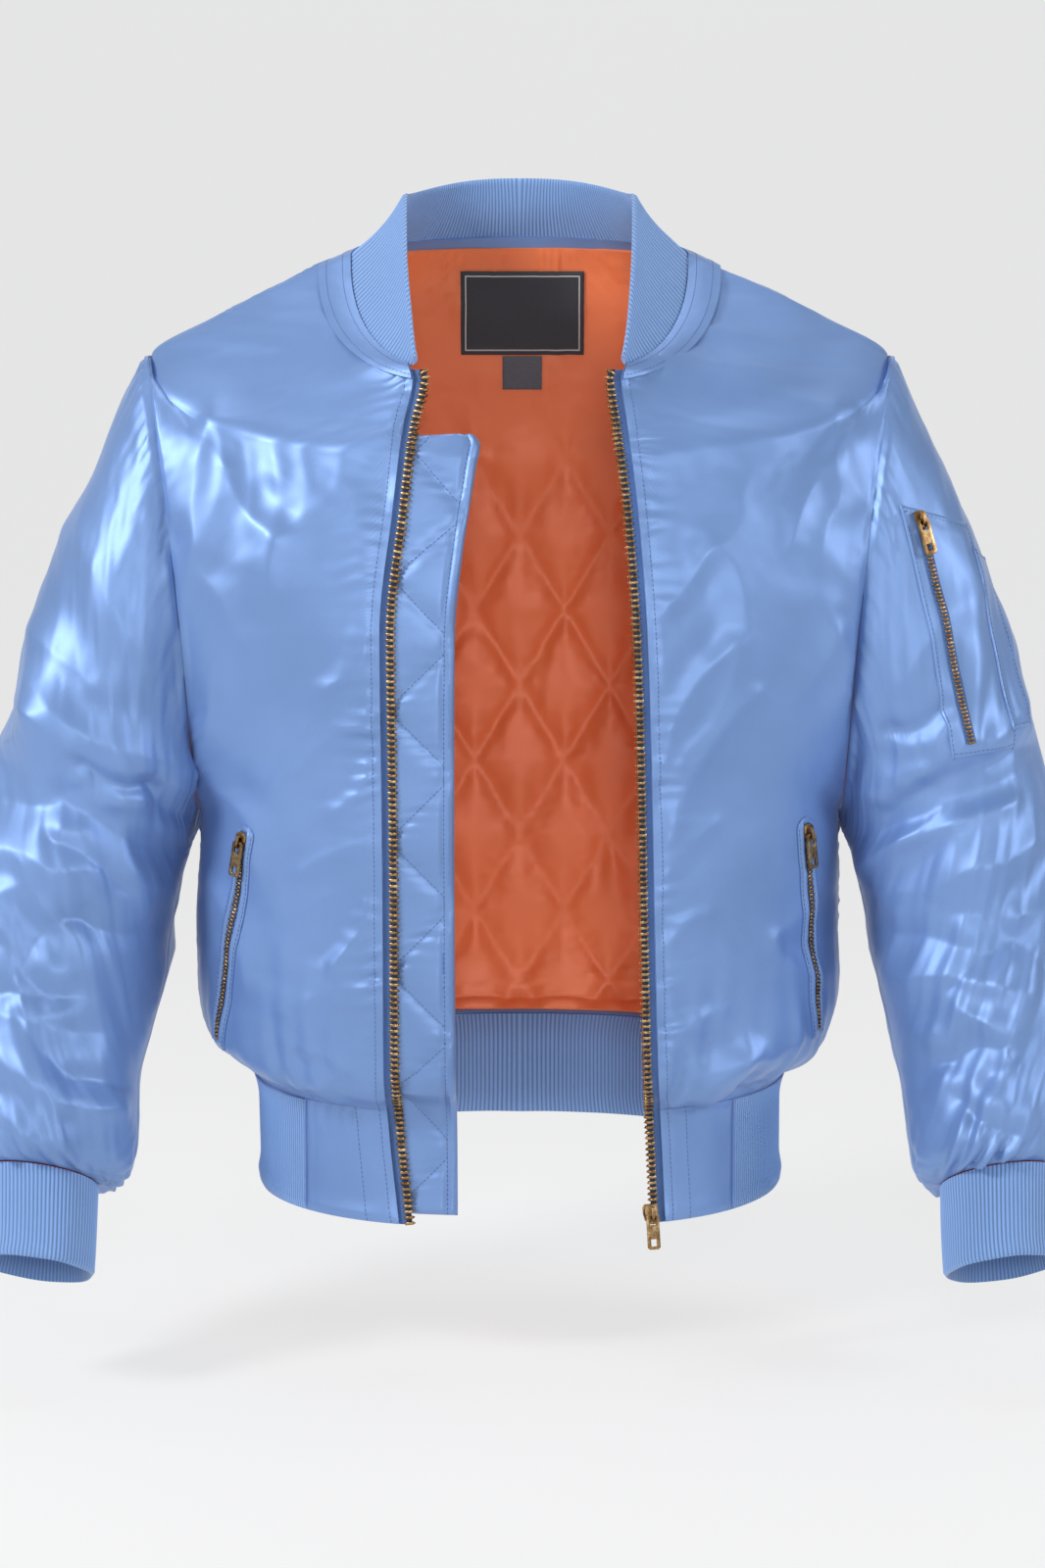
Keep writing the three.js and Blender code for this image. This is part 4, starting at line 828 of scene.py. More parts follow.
# Cuffs
# Tubes of doubled rib knit that grip the wrist, with the ribs running along the arm and a soft folded edge.
RIB = {"pitch": 2.6, "wall": 2.6, "rise": 0.8, "inside": 0.45, "edge": 3}
RIB_BLUE = (0.185, 0.330, 0.640)
CUFF = {
    "t": [0, 0.2, 0.8, 1],
    "out_x": [369, 368, 366, 367],
    "out_z": [-629, -640, -675, -686],
    "in_x": [290, 290, 290, 290],
    "in_z": [-639, -650, -684, -695],
    "mid_y": [-119, -125, -142, -148],
    "depth": [41, 39, 38, 39],
    "tip": [27, 27, 27, 27],
    "bow": [0, 0, 0, 0],
}
CUFF_RIBS = 88


def rib_finish(name, base):
    """Rib knit: a chain of small V stitches up each rib, painted shade in its grooves, with a faint fuzz."""
    finish = Finish(name, Roughness=0.85, Specular_IOR_Level=0.25, Sheen_Weight=0.5, Sheen_Roughness=0.5)
    across, along = finish.cloth()
    rib = (across * (2 * math.pi / RIB["pitch"]) + math.pi / 2).wave()
    slant = ((across / RIB["pitch"] + 0.5).fraction() - 0.5).size() * 1.6
    stitch = ((along / 1.5 + slant) * (2 * math.pi)).wave()
    fuzz = finish.noise(1600, 2)
    patchy = finish.noise(14, 3)
    # The rib wave darkens the grooves as painted shade and lightens the crests as painted light; the fuzz and
    # patchy noise are the yarn's own uneven tone.
    painted_shade_and_tone = rib * 0.5 + stitch * 0.14 + fuzz * 0.18 + patchy * 0.18
    deep = tuple(0.42 * part for part in base)
    pale = tuple(1.25 * part + 0.015 for part in base)
    finish.colours(painted_shade_and_tone, [(0.12, deep), (0.5, base), (0.92, pale)])
    finish.varies("Roughness", fuzz * 0.1 + 0.78)
    finish.bump(stitch * 0.6 + fuzz * 0.4, 0.16, 0.7)
    return finish


rib_knit = rib_finish("rib_knit_blue", RIB_BLUE)


def rib_wall(name, points, guide, ribs, free_edge, around=False, coarse=1):
    """Rib knit along the rows of a grid. The free edge tells how far each point is from a folded edge."""
    out = normals(points, guide, around)
    columns = points.shape[1]
    count = columns + 1 if around else columns
    phase = np.linspace(0, ribs, count)[None, :]
    comb = (0.5 + 0.5 * np.cos(2 * np.pi * phase[:, :columns])) ** 0.8
    near = np.clip(1 - free_edge / RIB["edge"], 0, 1)
    rounded = np.sqrt(np.maximum(1 - near**2, 0.02))
    centre = points - out * RIB["wall"] / 2
    outer = centre + out * ((RIB["wall"] / 2 + RIB["rise"] * comb) * rounded)[..., None]
    inner = centre - out * ((RIB["wall"] / 2 + RIB["inside"] * comb) * rounded)[..., None]
    along = spans(points, around)[1]
    uv = (phase * RIB["pitch"] + 0 * along, along)
    return wall(name, outer, inner, rib_knit, around=around, uv=uv, coarse=coarse)


for side, name, seed in ((-1, "right", 101), (1, "left", 103)):
    t = np.linspace(0.006, 1, 25)[:, None]
    columns = CUFF_RIBS * 5
    u = np.arange(columns)[None, :] / columns
    base = tube(CUFF, side, u, t)
    along = spans(base, around=True)[1][:, :-1]
    out = normals(base, base.mean(1, keepdims=True), around=True)
    sway = 0.7 * np.sin(2 * np.pi * 3 * u + seed) * np.sin(np.pi * t)
    sway = sway + 0.5 * np.sin(2 * np.pi * 7 * u + seed) * t
    base = base + out * sway[..., None]
    cuff = rib_wall(f"cuff_{name}_rib", base, base.mean(1, keepdims=True), CUFF_RIBS, along[-1:] - along,
                    around=True, coarse=4)
    join_body(cuff, [f"cuff_{name}"])
    sewn(base, around=True)

# Hem
# A deep band of the same doubled rib knit from the wearer's right round the back to the left, with a satin
# end at each side of the zip.
HEM_PANEL = 150
HEM_RIBS = 290
HEM_END_STITCH = 7


def round_body(v, turn):
    """Round the body at a level, from the middle of the front past the wearer's right."""
    side = np.where(turn < np.pi, -1, 1)
    half = np.where(turn < np.pi, turn, 2 * np.pi - turn)
    front = torso(v, side * np.minimum(half, np.pi / 2), False)
    behind = torso(v, side * (np.pi - np.maximum(half, np.pi / 2)), True)
    return np.where((half < np.pi / 2)[..., None], front, behind)


v = np.linspace(HEM, -0.0006, 15)[:, None]
u = np.linspace(0, 1, HEM_RIBS * 5 + 1)[None, :]
start = angle_at(v, HEM_PANEL + SEAM / 2)
base = round_body(v, mix(start, 2 * np.pi - start, u))
across, along = spans(base)
out = normals(base, np.array([0, 0, -620]))
sway = 1.1 * noise(across / 60, along / 70, 111) + 0.5 * noise(across / 22, along / 60, 112)
from_ends = np.minimum(across - across[:, :1], across[:, -1:] - across)
base = base + out * (sway * smooth(from_ends, 0, 20))[..., None]
hem = rib_wall("hem_rib_knit", base, np.array([0, 0, -620]), HEM_RIBS, along)
join_body(hem, ["hem_rib"])
sewn(base)

for side, name, seed in ((-1, "right", 121), (1, "left", 123)):
    v = np.linspace(HEM, -0.0006, 49)[:, None]
    u = np.linspace(0, 1, 33)[None, :]
    first = angle_at(v, teeth_at(side, v) + TAPE_REACH)
    base = torso(v, side * mix(first, angle_at(v, HEM_PANEL - SEAM / 2), u), False)
    out = normals(base, MIDDLE)
    across, along = spans(base)
    from_zip, from_rib = across - across[:, :1], across[:, -1:] - across
    edge = from_edges(across, along)
    rise = ripples(across, along, seed, 0.7) + pulls(along[-1:] - along, across, 9, 1, 14, seed + 3)
    rise = rise * smooth(edge, -1, 6) + groove(from_zip - STITCH_IN, 0.5, 1.5) + groove(edge, 0.9, 2.5)
    rise += groove(from_rib - HEM_END_STITCH, 0.5, 1.3)
    outer = base + out * rise[..., None]
    end = wall(f"hem_end_{name}", outer, base - out * SHELL, satin, coarse=2)
    join_body(end, [f"hem_panel_{name}"])
    sewn(base)
    thread_lines.append((line_at(outer, from_zip, STITCH_IN), line_at(out, from_zip, STITCH_IN)))
    far = across[:, -1:].min() - HEM_END_STITCH
    thread_lines.append((line_at(outer, from_zip, far), line_at(out, from_zip, far)))

# Collar
# A crescent of doubled rib knit from one zip top round the neck to the other, its ribs running up to a soft
# folded edge.
COLLAR = {"side_x": 80, "side_y": 6, "side_z": 43, "back_y": 60, "back_z": 57, "end_x": 72, "end_y": -87,
          "end_z": -73, "waist": 0.07, "gap": -0.7, "ribs": 206}
collar_start = angle_at(np.array(1.0), COLLAR["end_x"])


def collar_edge(turn):
    side = np.where(turn < np.pi, -1, 1)
    half = np.where(turn < np.pi, turn, 2 * np.pi - turn)
    s = np.clip((np.pi / 2 - half) / (np.pi / 2 - collar_start), 0, 1)
    q = np.clip(half - np.pi / 2, 0, np.pi / 2)
    in_front = half < np.pi / 2
    x = np.where(in_front, mix(COLLAR["side_x"], COLLAR["end_x"], s**2),
                 COLLAR["side_x"] * np.maximum(np.cos(q), 0) ** 0.8)
    y = np.where(in_front, mix(COLLAR["side_y"], COLLAR["end_y"], s),
                 mix(COLLAR["side_y"], COLLAR["back_y"], np.sin(q) ** 0.9))
    z = np.where(in_front, mix(COLLAR["side_z"], COLLAR["end_z"], s**1.15),
                 mix(COLLAR["side_z"], COLLAR["back_z"], np.sin(q) ** 2))
    return np.stack([side * x, y, z], -1)


r = np.linspace(0, 1, 19)[:, None, None]
u = np.linspace(0, 1, COLLAR["ribs"] * 5 + 1)
turn = mix(collar_start, 2 * np.pi - collar_start, u)
edge = collar_edge(turn)
seam = round_body(np.array(1.0), turn)
tall = np.linalg.norm(edge - seam, axis=-1)[:, None]
foot = edge + (edge - seam) * (-1 + COLLAR["gap"] / tall)
inward = unit(edge * np.array([-1, -1, 0]))
base = mix(foot, edge, r) + inward * COLLAR["waist"] * tall * np.sin(np.pi * r)
across, along = spans(base)
out = normals(base, np.array([0, 10, -40]))
base = base + out * (0.9 * noise(across / 45, along / 60, 131) * smooth(along, 0, 20))[..., None]
from_ends = np.minimum(across - across[:, :1], across[:, -1:] - across)
free = np.minimum(along[-1:] - along, from_ends + 1.2)
collar = rib_wall("collar_rib", base, np.array([0, 10, -40]), COLLAR["ribs"], free)
join_body(collar, ["collar"])
sewn(base)

# Neck binding
# A narrow folded strip of the satin, sewn down along both its edges over the neck seam.
BINDING = {"low": 0.9795, "high": 0.9990, "lift": 0.9, "thick": 1.2, "rows": 9}


def neck_strip(level):
    """Points along one level of the two fronts and the back, from zip to zip, with their normals."""
    lines = []
    for side, behind in ((-1, False), (0, True), (1, False)):
        v = np.linspace(level - 0.006, level + 0.006, 3)[:, None]
        u = np.linspace(0, 1, 121 if behind else 61)[None, :]
        if behind:
            last = last_angle(v, True)
            grid = torso(v, mix(-last, last, u), True)
        else:
            first = angle_at(v, teeth_at(side, np.minimum(v, 1)) + TAPE_REACH)
            share = u if side < 0 else 1 - u
            grid = torso(v, side * mix(first, last_angle(v, False), share), False)
        lines.append((grid[1], normals(grid, MIDDLE)[1]))
    cut = [slice(None, -1), slice(1, -1), slice(1, None)]
    return [np.concatenate([line[part][keep] for line, keep in zip(lines, cut)]) for part in (0, 1)]


levels = np.linspace(BINDING["low"], BINDING["high"], BINDING["rows"])
strips = [neck_strip(level) for level in levels]
base = np.array([points for points, _ in strips])
out = np.array([out for _, out in strips])
swell = BINDING["thick"] * (0.55 + 0.45 * np.sin(np.pi * np.linspace(0, 1, BINDING["rows"])))[:, None]
across, along = spans(base)
swell = swell + 0.18 * noise(across / 4, along / 5, 141)
outer = base + out * (BINDING["lift"] + swell)[..., None]
binding = wall("neck_binding", outer, base + out * (BINDING["lift"] - 0.5), satin)
join_body(binding, ["neck_band"])
sewn(base)
for row in (2, -3):
    thread_lines.append((outer[row], out[row]))

# Main zip
# A separating brass zip: dark blue woven tape behind the edge of each front, a cord along it whose
# near-black colour is painted shade between the teeth, and clamped brass teeth on the cord.
TAPE = {"inner": -1.4, "under": 13, "sink": 3.5, "thick": 1, "top": 0.995}
CORD = {"half": 1.9, "thick": 1.5}
TOOTH = {"pitch": 4, "wide": 6.2, "long": 2.3, "thick": 3, "nib": 1.1, "bevel": 0.45}
TAPE_BLUE = (0.075, 0.150, 0.36)
BRASS = ((0.10, 0.055, 0.022), (0.34, 0.20, 0.085), (0.74, 0.55, 0.31))


def tape_finish():
    finish = Finish("zip_tape_blue", Roughness=0.8, Specular_IOR_Level=0.3, Sheen_Weight=0.2)
    across, along = finish.cloth()
    weave = (across * (2 * math.pi / 0.8)).wave() * 0.5 + (along * (2 * math.pi / 0.7)).wave() * 0.5
    dust = finish.noise(60, 3)
    deep = tuple(0.6 * part for part in TAPE_BLUE)
    pale = tuple(1.5 * part for part in TAPE_BLUE)
    finish.colours(weave * 0.6 + dust * 0.4, [(0.2, deep), (0.55, TAPE_BLUE), (0.9, pale)])
    finish.varies("Roughness", dust * 0.2 + 0.7)
    finish.bump(weave, 0.12, 0.6)
    return finish


def brass_finish():
    """Antique brass: dark and rubbed bright in uneven patches, with fine scratches."""
    finish = Finish("antique_brass", Metallic=1)
    cloud = finish.noise(170, 4)
    speck = finish.noise(900, 3)
    scratch = finish.node("ShaderNodeMapping", {"Vector": finish.place(), "Scale": (3000, 3000, 240)})
    line = finish.noise(1, 2, at=scratch.outputs[0])
    dark, mid, bright = BRASS
    finish.colours(cloud * 0.6 + speck * 0.25 + line * 0.15, [(0.3, dark), (0.5, mid), (0.68, bright)])
    finish.varies("Roughness", speck * 0.25 + cloud * 0.15 + 0.18)
    finish.bump(speck * 0.5 + line * 0.5, 0.04, 0.5)
    return finish


def gap_shade_cord_finish():
    finish = Finish("cord_painted_gap_shade", Roughness=0.85, Specular_IOR_Level=0.2)
    # Near-black all over as painted shade: the cord stands in for the shade between the brass teeth.
    wound = finish.noise(700, 3)
    finish.colours(wound, [(0.3, (0.012, 0.014, 0.024)), (0.7, (0.035, 0.042, 0.065))])
    finish.bump(wound, 0.1, 0.6)
    return finish


tape_weave = tape_finish()
brass = brass_finish()
shade_cord_material = gap_shade_cord_finish()


def repeat_tree():
    """Puts an item on each point of a mesh, turned by the point's own angles, and gives it its finish."""
    tree = bpy.data.node_groups.new("repeated_item", "GeometryNodeTree")
    for label, kind in (("Points", "Geometry"), ("Item", "Object"), ("Finish", "Material")):
        tree.interface.new_socket(label, in_out="INPUT", socket_type=f"NodeSocket{kind}")
    tree.interface.new_socket("Items", in_out="OUTPUT", socket_type="NodeSocketGeometry")
    source = tree.nodes.new("NodeGroupInput")
    item = tree.nodes.new("GeometryNodeObjectInfo")
    angles = tree.nodes.new("GeometryNodeInputNamedAttribute")
    angles.data_type = "FLOAT_VECTOR"
    angles.inputs["Name"].default_value = "angles"
    rotation = tree.nodes.new("FunctionNodeEulerToRotation")
    place = tree.nodes.new("GeometryNodeInstanceOnPoints")
    real = tree.nodes.new("GeometryNodeRealizeInstances")
    paint = tree.nodes.new("GeometryNodeSetMaterial")
    finished = tree.nodes.new("NodeGroupOutput")
    tree.links.new(source.outputs["Points"], place.inputs["Points"])
    tree.links.new(source.outputs["Item"], item.inputs["Object"])
    tree.links.new(item.outputs["Geometry"], place.inputs["Instance"])
    tree.links.new(angles.outputs[0], rotation.inputs[0])
    tree.links.new(rotation.outputs[0], place.inputs["Rotation"])
    tree.links.new(place.outputs[0], real.inputs[0])
    tree.links.new(real.outputs[0], paint.inputs["Geometry"])
    tree.links.new(source.outputs["Finish"], paint.inputs["Material"])
    tree.links.new(paint.outputs[0], finished.inputs["Items"])
    return tree


repeat_group = repeat_tree()


def repeated(name, item, points, x_axes, y_axes, finish):
    """One mesh of copies of an item, each at a point with its own x and y axes."""
    cloud = bpy.data.meshes.new(name)
    cloud.from_pydata((points * MM).tolist(), [], [])
    z_axes = np.cross(x_axes, y_axes)
    angles = [Matrix((x, y, z)).transposed().to_euler() for x, y, z in zip(x_axes, y_axes, z_axes)]
    cloud.attributes.new("angles", "FLOAT_VECTOR", "POINT").data.foreach_set("vector", np.ravel(angles))
    holder = bpy.data.objects.new(name, cloud)
    scene.collection.objects.link(holder)
    modifier = holder.modifiers.new("repeat", "NODES")
    modifier.node_group = repeat_group
    inputs = {socket.name: socket.identifier for socket in repeat_group.interface.items_tree
              if socket.in_out == "INPUT"}
    modifier[inputs["Item"]] = item
    modifier[inputs["Finish"]] = finish.material
    bpy.context.view_layer.update()
    made = bpy.data.meshes.new_from_object(holder.evaluated_get(bpy.context.evaluated_depsgraph_get()))
    holder.modifiers.remove(modifier)
    holder.data = made
    bpy.data.meshes.remove(cloud)
    bpy.data.objects.remove(item)
    made.name = name
    return holder


def blocks(name, boxes, bevel):
    """One small item made of boxes (low corner, high corner) with rounded edges."""
    work = bmesh.new()
    for low, high in boxes:
        low, high = Vector(low) * MM, Vector(high) * MM
        made = bmesh.ops.create_cube(work, size=1)["verts"]
        for corner in made:
            corner.co = Vector((l + (h - l) * (part + 0.5) for part, l, h in zip(corner.co, low, high)))
    bmesh.ops.bevel(work, geom=list(work.edges), offset=bevel * MM, segments=1, profile=0.6, affect="EDGES")
    mesh = bpy.data.meshes.new(name)
    work.to_mesh(mesh)
    work.free()
    mesh.shade_smooth()
    item = bpy.data.objects.new(name, mesh)
    scene.collection.objects.link(item)
    return item


def along_line(points, out, pitch, start=0):
    """Evenly spaced places on a line, each with the line's direction and outward normal there."""
    reach = np.concatenate([[0], np.cumsum(np.linalg.norm(np.diff(points, axis=0), axis=1))])
    stations = np.arange(start, reach[-1], pitch)
    at = np.stack([np.interp(stations, reach, points[:, axis]) for axis in range(3)], -1)
    ahead = np.stack([np.interp(stations + 0.5, reach, points[:, axis]) for axis in range(3)], -1)
    behind = np.stack([np.interp(stations - 0.5, reach, points[:, axis]) for axis in range(3)], -1)
    up = np.stack([np.interp(stations, reach, out[:, axis]) for axis in range(3)], -1)
    forward = unit(ahead - behind)
    up = unit(up - forward * np.sum(up * forward, -1, keepdims=True))
    return at, forward, up


def tooth_item():
    wide, long, thick = TOOTH["wide"] / 2, TOOTH["long"] / 2, TOOTH["thick"] / 2
    body = ((-wide, -long, -thick), (wide, long, thick))
    nib = ((-wide - TOOTH["nib"], -long * 0.6, -thick * 0.4), (-wide + 0.5, long * 0.6, thick * 0.4))
    return blocks("tooth", [body, nib], TOOTH["bevel"])


for side, name in ((-1, "right"), (1, "left")):
    v = np.linspace(HEM, TAPE["top"], 260)[:, None]
    teeth = teeth_at(side, v)

    def strip(offsets):
        return torso(v, side * angle_at(v, teeth + offsets), False)

    base = strip(np.linspace(TAPE["inner"], TAPE["under"], 9)[None, :])
    out = normals(base, MIDDLE)
    back_face = base - out * (TAPE["sink"] + TAPE["thick"])
    tape = wall(f"zip_tape_{name}_weave", base - out * TAPE["sink"], back_face, tape_weave)
    join_body(tape, [f"zip_tape_{name}"])
    sewn(base)
    # The cord under the teeth is coloured near-black as painted shade between them.
    core = strip(np.linspace(-CORD["half"], CORD["half"], 7)[None, :])
    out = normals(core, MIDDLE)
    middle = core - out * (TAPE["sink"] + TAPE["thick"] / 2)
    dome = CORD["thick"] * np.sqrt(1 - np.linspace(-0.96, 0.96, 7) ** 2)[None, :, None]
    cord = wall(f"zip_cord_{name}", middle + out * dome, middle - out * dome, shade_cord_material, uv=spans(core))
    join_body(cord, [f"zip_tape_{name}"])
    line, up = middle[::-1, 3], out[::-1, 3]
    at, forward, up = along_line(line, up, TOOTH["pitch"], 2)
    inside = unit(np.cross(forward, up)) * -1
    toward = inside * np.sign(np.sum(inside * np.array([side, 0, 0]), -1, keepdims=True))
    teeth_row = repeated(f"zip_teeth_{name}", tooth_item(), at, toward, np.cross(up, toward), brass)
    join_body(teeth_row, [f"zip_tape_{name}"])

# Wind flap
# A strip of the satin with wadding behind the wearer's right-hand teeth, quilted in one zigzag and stitched
# along its free edge.
FLAP_EDGE = {"z": [-660, -400, -262, -200, -155, -120], "x": [44, 45, 44, 38, 31, 25]}
FLAP = {"low": -0.145, "high": 0.905, "sink": 7.4, "thick": 3.6, "puff": 2.2}
FLAP_SEWING = {"zigzag": 90, "reach": 46, "last": 44, "corner": 9, "hem": 7}
v = np.linspace(FLAP["low"], FLAP["high"], 321)[:, None]
u = np.linspace(0, 1, 29)[None, :]
free = follow(FLAP_EDGE, "z", "x", follow(BODY, "v", "z_front", v))
level = follow(BODY, "v", "z_front", v)
short = np.clip(FLAP_SEWING["corner"] - (level[-1] - level), 0, FLAP_SEWING["corner"])
free = free + FLAP_SEWING["corner"] - np.sqrt(FLAP_SEWING["corner"] ** 2 - short**2)
base = torso(v, -angle_at(v, mix(free, teeth_at(-1, v) + TAPE_REACH + 2, u)), False)
out = normals(base, MIDDLE)
across, along = spans(base)
from_free = across - across[:, :1]
swing = np.abs(((along / FLAP_SEWING["zigzag"]) % 1) * 2 - 1) * FLAP_SEWING["reach"]
slope = math.hypot(1, 2 * FLAP_SEWING["reach"] / FLAP_SEWING["zigzag"])
to_line = np.abs(from_free - swing) / slope
edge = np.minimum(np.minimum(from_free, along[-1:] - along), along)
from_hem = np.abs(from_free - FLAP_SEWING["hem"])
puff = FLAP["puff"] * (1 - np.exp(-((to_line / 5.5) ** 1.3))) * smooth(from_hem, 0.2, 3.5)
puff += ripples(across * 1.6, along * 1.6, 151, 0.5) + pulls(to_line, along, 8, 0.7, 9, 155)
rise = puff * smooth(edge, -0.5, 4) - 1.6 * (1 - smooth(edge, 0, 2.2))
outer = base - out * (FLAP["sink"] - rise)[..., None]
back_face = base - out * (FLAP["sink"] + FLAP["thick"])
flap = wall("wind_flap_satin", outer, back_face, satin, lining_satin, coarse=4)
join_body(flap, ["wind_flap"])
sewn(base)
zigzag = np.clip(swing[:, 0], FLAP_SEWING["hem"], FLAP_SEWING["last"])
for reach in (FLAP_SEWING["hem"], zigzag):
    thread_lines.append((line_at(outer, from_free, reach), line_at(out, from_free, reach)))

# Pocket and sleeve zips
# Each slanting side pocket has a stitched satin welt with two padded lips and a closed brass zip between.
# The sleeve pocket is a patch with a zip down its front edge and a pen pocket on its outer edge.
POCKETS = {
    "side": [-1, 1],
    "name": ["right", "left"],
    "top_x": [76, 86],
    "top_z": [-405, -400],
    "end_x": [106, 105],
    "end_z": [-548, -540],
}
POCKET_YAW = 45
WELT = {"width": 17, "above": 11, "below": 7, "lip": 2.1, "slot": 3.3, "base": 0.5, "floor": 0.35}
CHAIN = {"pitch": 2.7, "wide": 4.4, "long": 1.7, "thick": 1.9, "shift": 0.5, "tape": 7.4,
         "above": 5, "bevel": 0.35}
SLEEVE_YAW = 20
SLEEVE_ZIP = {"top_x": 230, "top_z": -184, "end_x": 255, "end_z": -336}
PATCH = {"corners": ((217, -174), (274, -188), (244, -347), (295, -341)), "thick": 1.1}
PEN = {"corners": ((273, -204), (295, -212), (289, -328), (310, -326)), "thick": 1.1}


def seen_from(yaw, trees, x, z, distance=400):
    """The nearest points that a viewer who stands round to the side sees at places across and up the view."""
    turn = math.radians(yaw)
    right = np.array([math.cos(turn), math.sin(turn), 0])
    ahead = np.array([-math.sin(turn), math.cos(turn), 0])
    x, z = np.broadcast_arrays(x, z)
    found = np.zeros((*x.shape, 3))
    for spot in np.ndindex(x.shape):
        start = Vector(right * x[spot] - ahead * distance + np.array([0, 0, z[spot]]))
        hits = [hit for hit in (tree.ray_cast(start, Vector(ahead)) for tree in trees) if hit[0]]
        found[spot] = min(hits, key=lambda hit: hit[3])[0]
    return found


def softened(grid, times):
    """Evens out a grid of points that lies on facets, keeping its border."""
    for _ in range(times):
        middle = (grid[2:, 1:-1] + grid[:-2, 1:-1] + grid[1:-1, 2:] + grid[1:-1, :-2]) / 4
        grid[1:-1, 1:-1] = mix(grid[1:-1, 1:-1], middle, 0.5)
    return grid


def chain_item():
    wide, long, thick = CHAIN["wide"] / 2, CHAIN["long"] / 2, CHAIN["thick"] / 2
    return blocks("chain_tooth", [((-wide, -long, -thick), (wide, long, thick))], CHAIN["bevel"])


def short_zip(name, yaw, trees, top, end, node):
    """Tape and teeth of a closed zip on a surface."""
    long = math.hypot(end[0] - top[0], end[1] - top[1])
    dx, dz = (end[0] - top[0]) / long, (end[1] - top[1]) / long
    s = np.linspace(-CHAIN["above"], long, 60)[:, None]
    w = (np.linspace(-0.5, 0.5, 7) * CHAIN["tape"])[None, :]
    base = softened(seen_from(yaw, trees, top[0] + dx * s - dz * w, top[1] + dz * s + dx * w), 6)
    turn = math.radians(yaw)
    guide = base.mean((0, 1)) - np.array([math.sin(turn), -math.cos(turn), 0]) * 400
    out = normals(base, guide)
    tape = wall(f"{name}_tape", base + out * 0.75, base + out * 0.3, tape_weave)
    join_body(tape, [node])
    at, forward, up = along_line(base[:, 3], out[:, 3], CHAIN["pitch"], 1)
    sideways = np.cross(forward, up)
    shift = (np.arange(len(at)) % 2 - 0.5)[:, None] * CHAIN["shift"]
    at = at + sideways * shift + up * (0.75 + CHAIN["thick"] * 0.42)
    teeth_row = repeated(f"{name}_teeth", chain_item(), at, sideways, np.cross(up, sideways), brass)
    join_body(teeth_row, [node])


def ring_lines(grid, out, inset):
    """Stitched lines round a grid, the same number of rows and columns in from each border."""
    far, within = -1 - inset, slice(inset, -inset)
    sides = [(grid[:, column], out[:, column]) for column in (inset, far)]
    return sides + [(grid[row, within], out[row, within]) for row in (inset, far)]


for side, name, top_x, top_z, end_x, end_z in zip(*POCKETS.values()):
    yaw = side * POCKET_YAW
    top, end = (side * top_x, top_z), (side * end_x, end_z)
    long = math.hypot(end[0] - top[0], end[1] - top[1])
    dx, dz = (end[0] - top[0]) / long, (end[1] - top[1]) / long
    half = WELT["width"] / 2
    s = np.linspace(-WELT["above"], long + WELT["below"], 141)[:, None]
    top_room = np.clip(half - (s + WELT["above"]), 0, half)
    end_room = np.clip(3 - (long + WELT["below"] - s), 0, 3)
    widths = np.sqrt(np.maximum(half**2 - top_room**2, 0.8)) - (3 - np.sqrt(9 - end_room**2))
    w = np.linspace(-1, 1, 29)[None, :] * widths
    x, z = top[0] + dx * s - dz * w, top[1] + dz * s + dx * w
    base = softened(seen_from(yaw, [front_trees[name]], x, z), 8)
    turn = math.radians(yaw)
    guide = base.mean((0, 1)) - np.array([math.sin(turn), -math.cos(turn), 0]) * 400
    out = normals(base, guide)
    lip = smooth(np.abs(w), WELT["slot"] - 0.6, WELT["slot"] + 1)
    lip = lip * (1 - 0.75 * smooth(np.abs(w), half - 3, half))
    open_part = smooth(s, -CHAIN["above"] - 2, -CHAIN["above"]) * (1 - smooth(s, long, long + 1.5))
    closed_lip = 1 - 0.6 * smooth(np.abs(w) / widths, 0.6, 1)
    rise = WELT["base"] + WELT["lip"] * mix(closed_lip * 0.6, lip, open_part)
    rise = rise + 0.25 * noise(s / 6, w / 5, 161 + side) - groove(np.abs(w) - 6.6, -0.35, 0.7)
    rise = np.where(open_part * (np.abs(w) < WELT["slot"] - 0.6) > 0.5, WELT["floor"], rise)
    outer = base + out * rise[..., None]
    welt = wall(f"pocket_welt_{name}_satin", outer, base + out * 0.05, satin, coarse=2)
    join_body(welt, [f"pocket_welt_{name}"])
    sewn(base)
    for column in (2, -3):
        thread_lines.append((outer[6:-2, column], out[6:-2, column]))
    short_zip(f"pocket_zip_{name}", yaw, [front_trees[name]], top, end, f"zip_pocket_{name}")


def patch_points(corners, trees, rows, columns):
    (ax, az), (bx, bz), (cx, cz), (dx, dz) = corners
    s = np.linspace(0, 1, rows)[:, None]
    w = np.linspace(0, 1, columns)[None, :]
    x = mix(mix(ax, bx, w), mix(cx, dx, w), s)
    z = mix(mix(az, bz, w), mix(cz, dz, w), s)
    return softened(seen_from(SLEEVE_YAW, trees, x, z), 10)


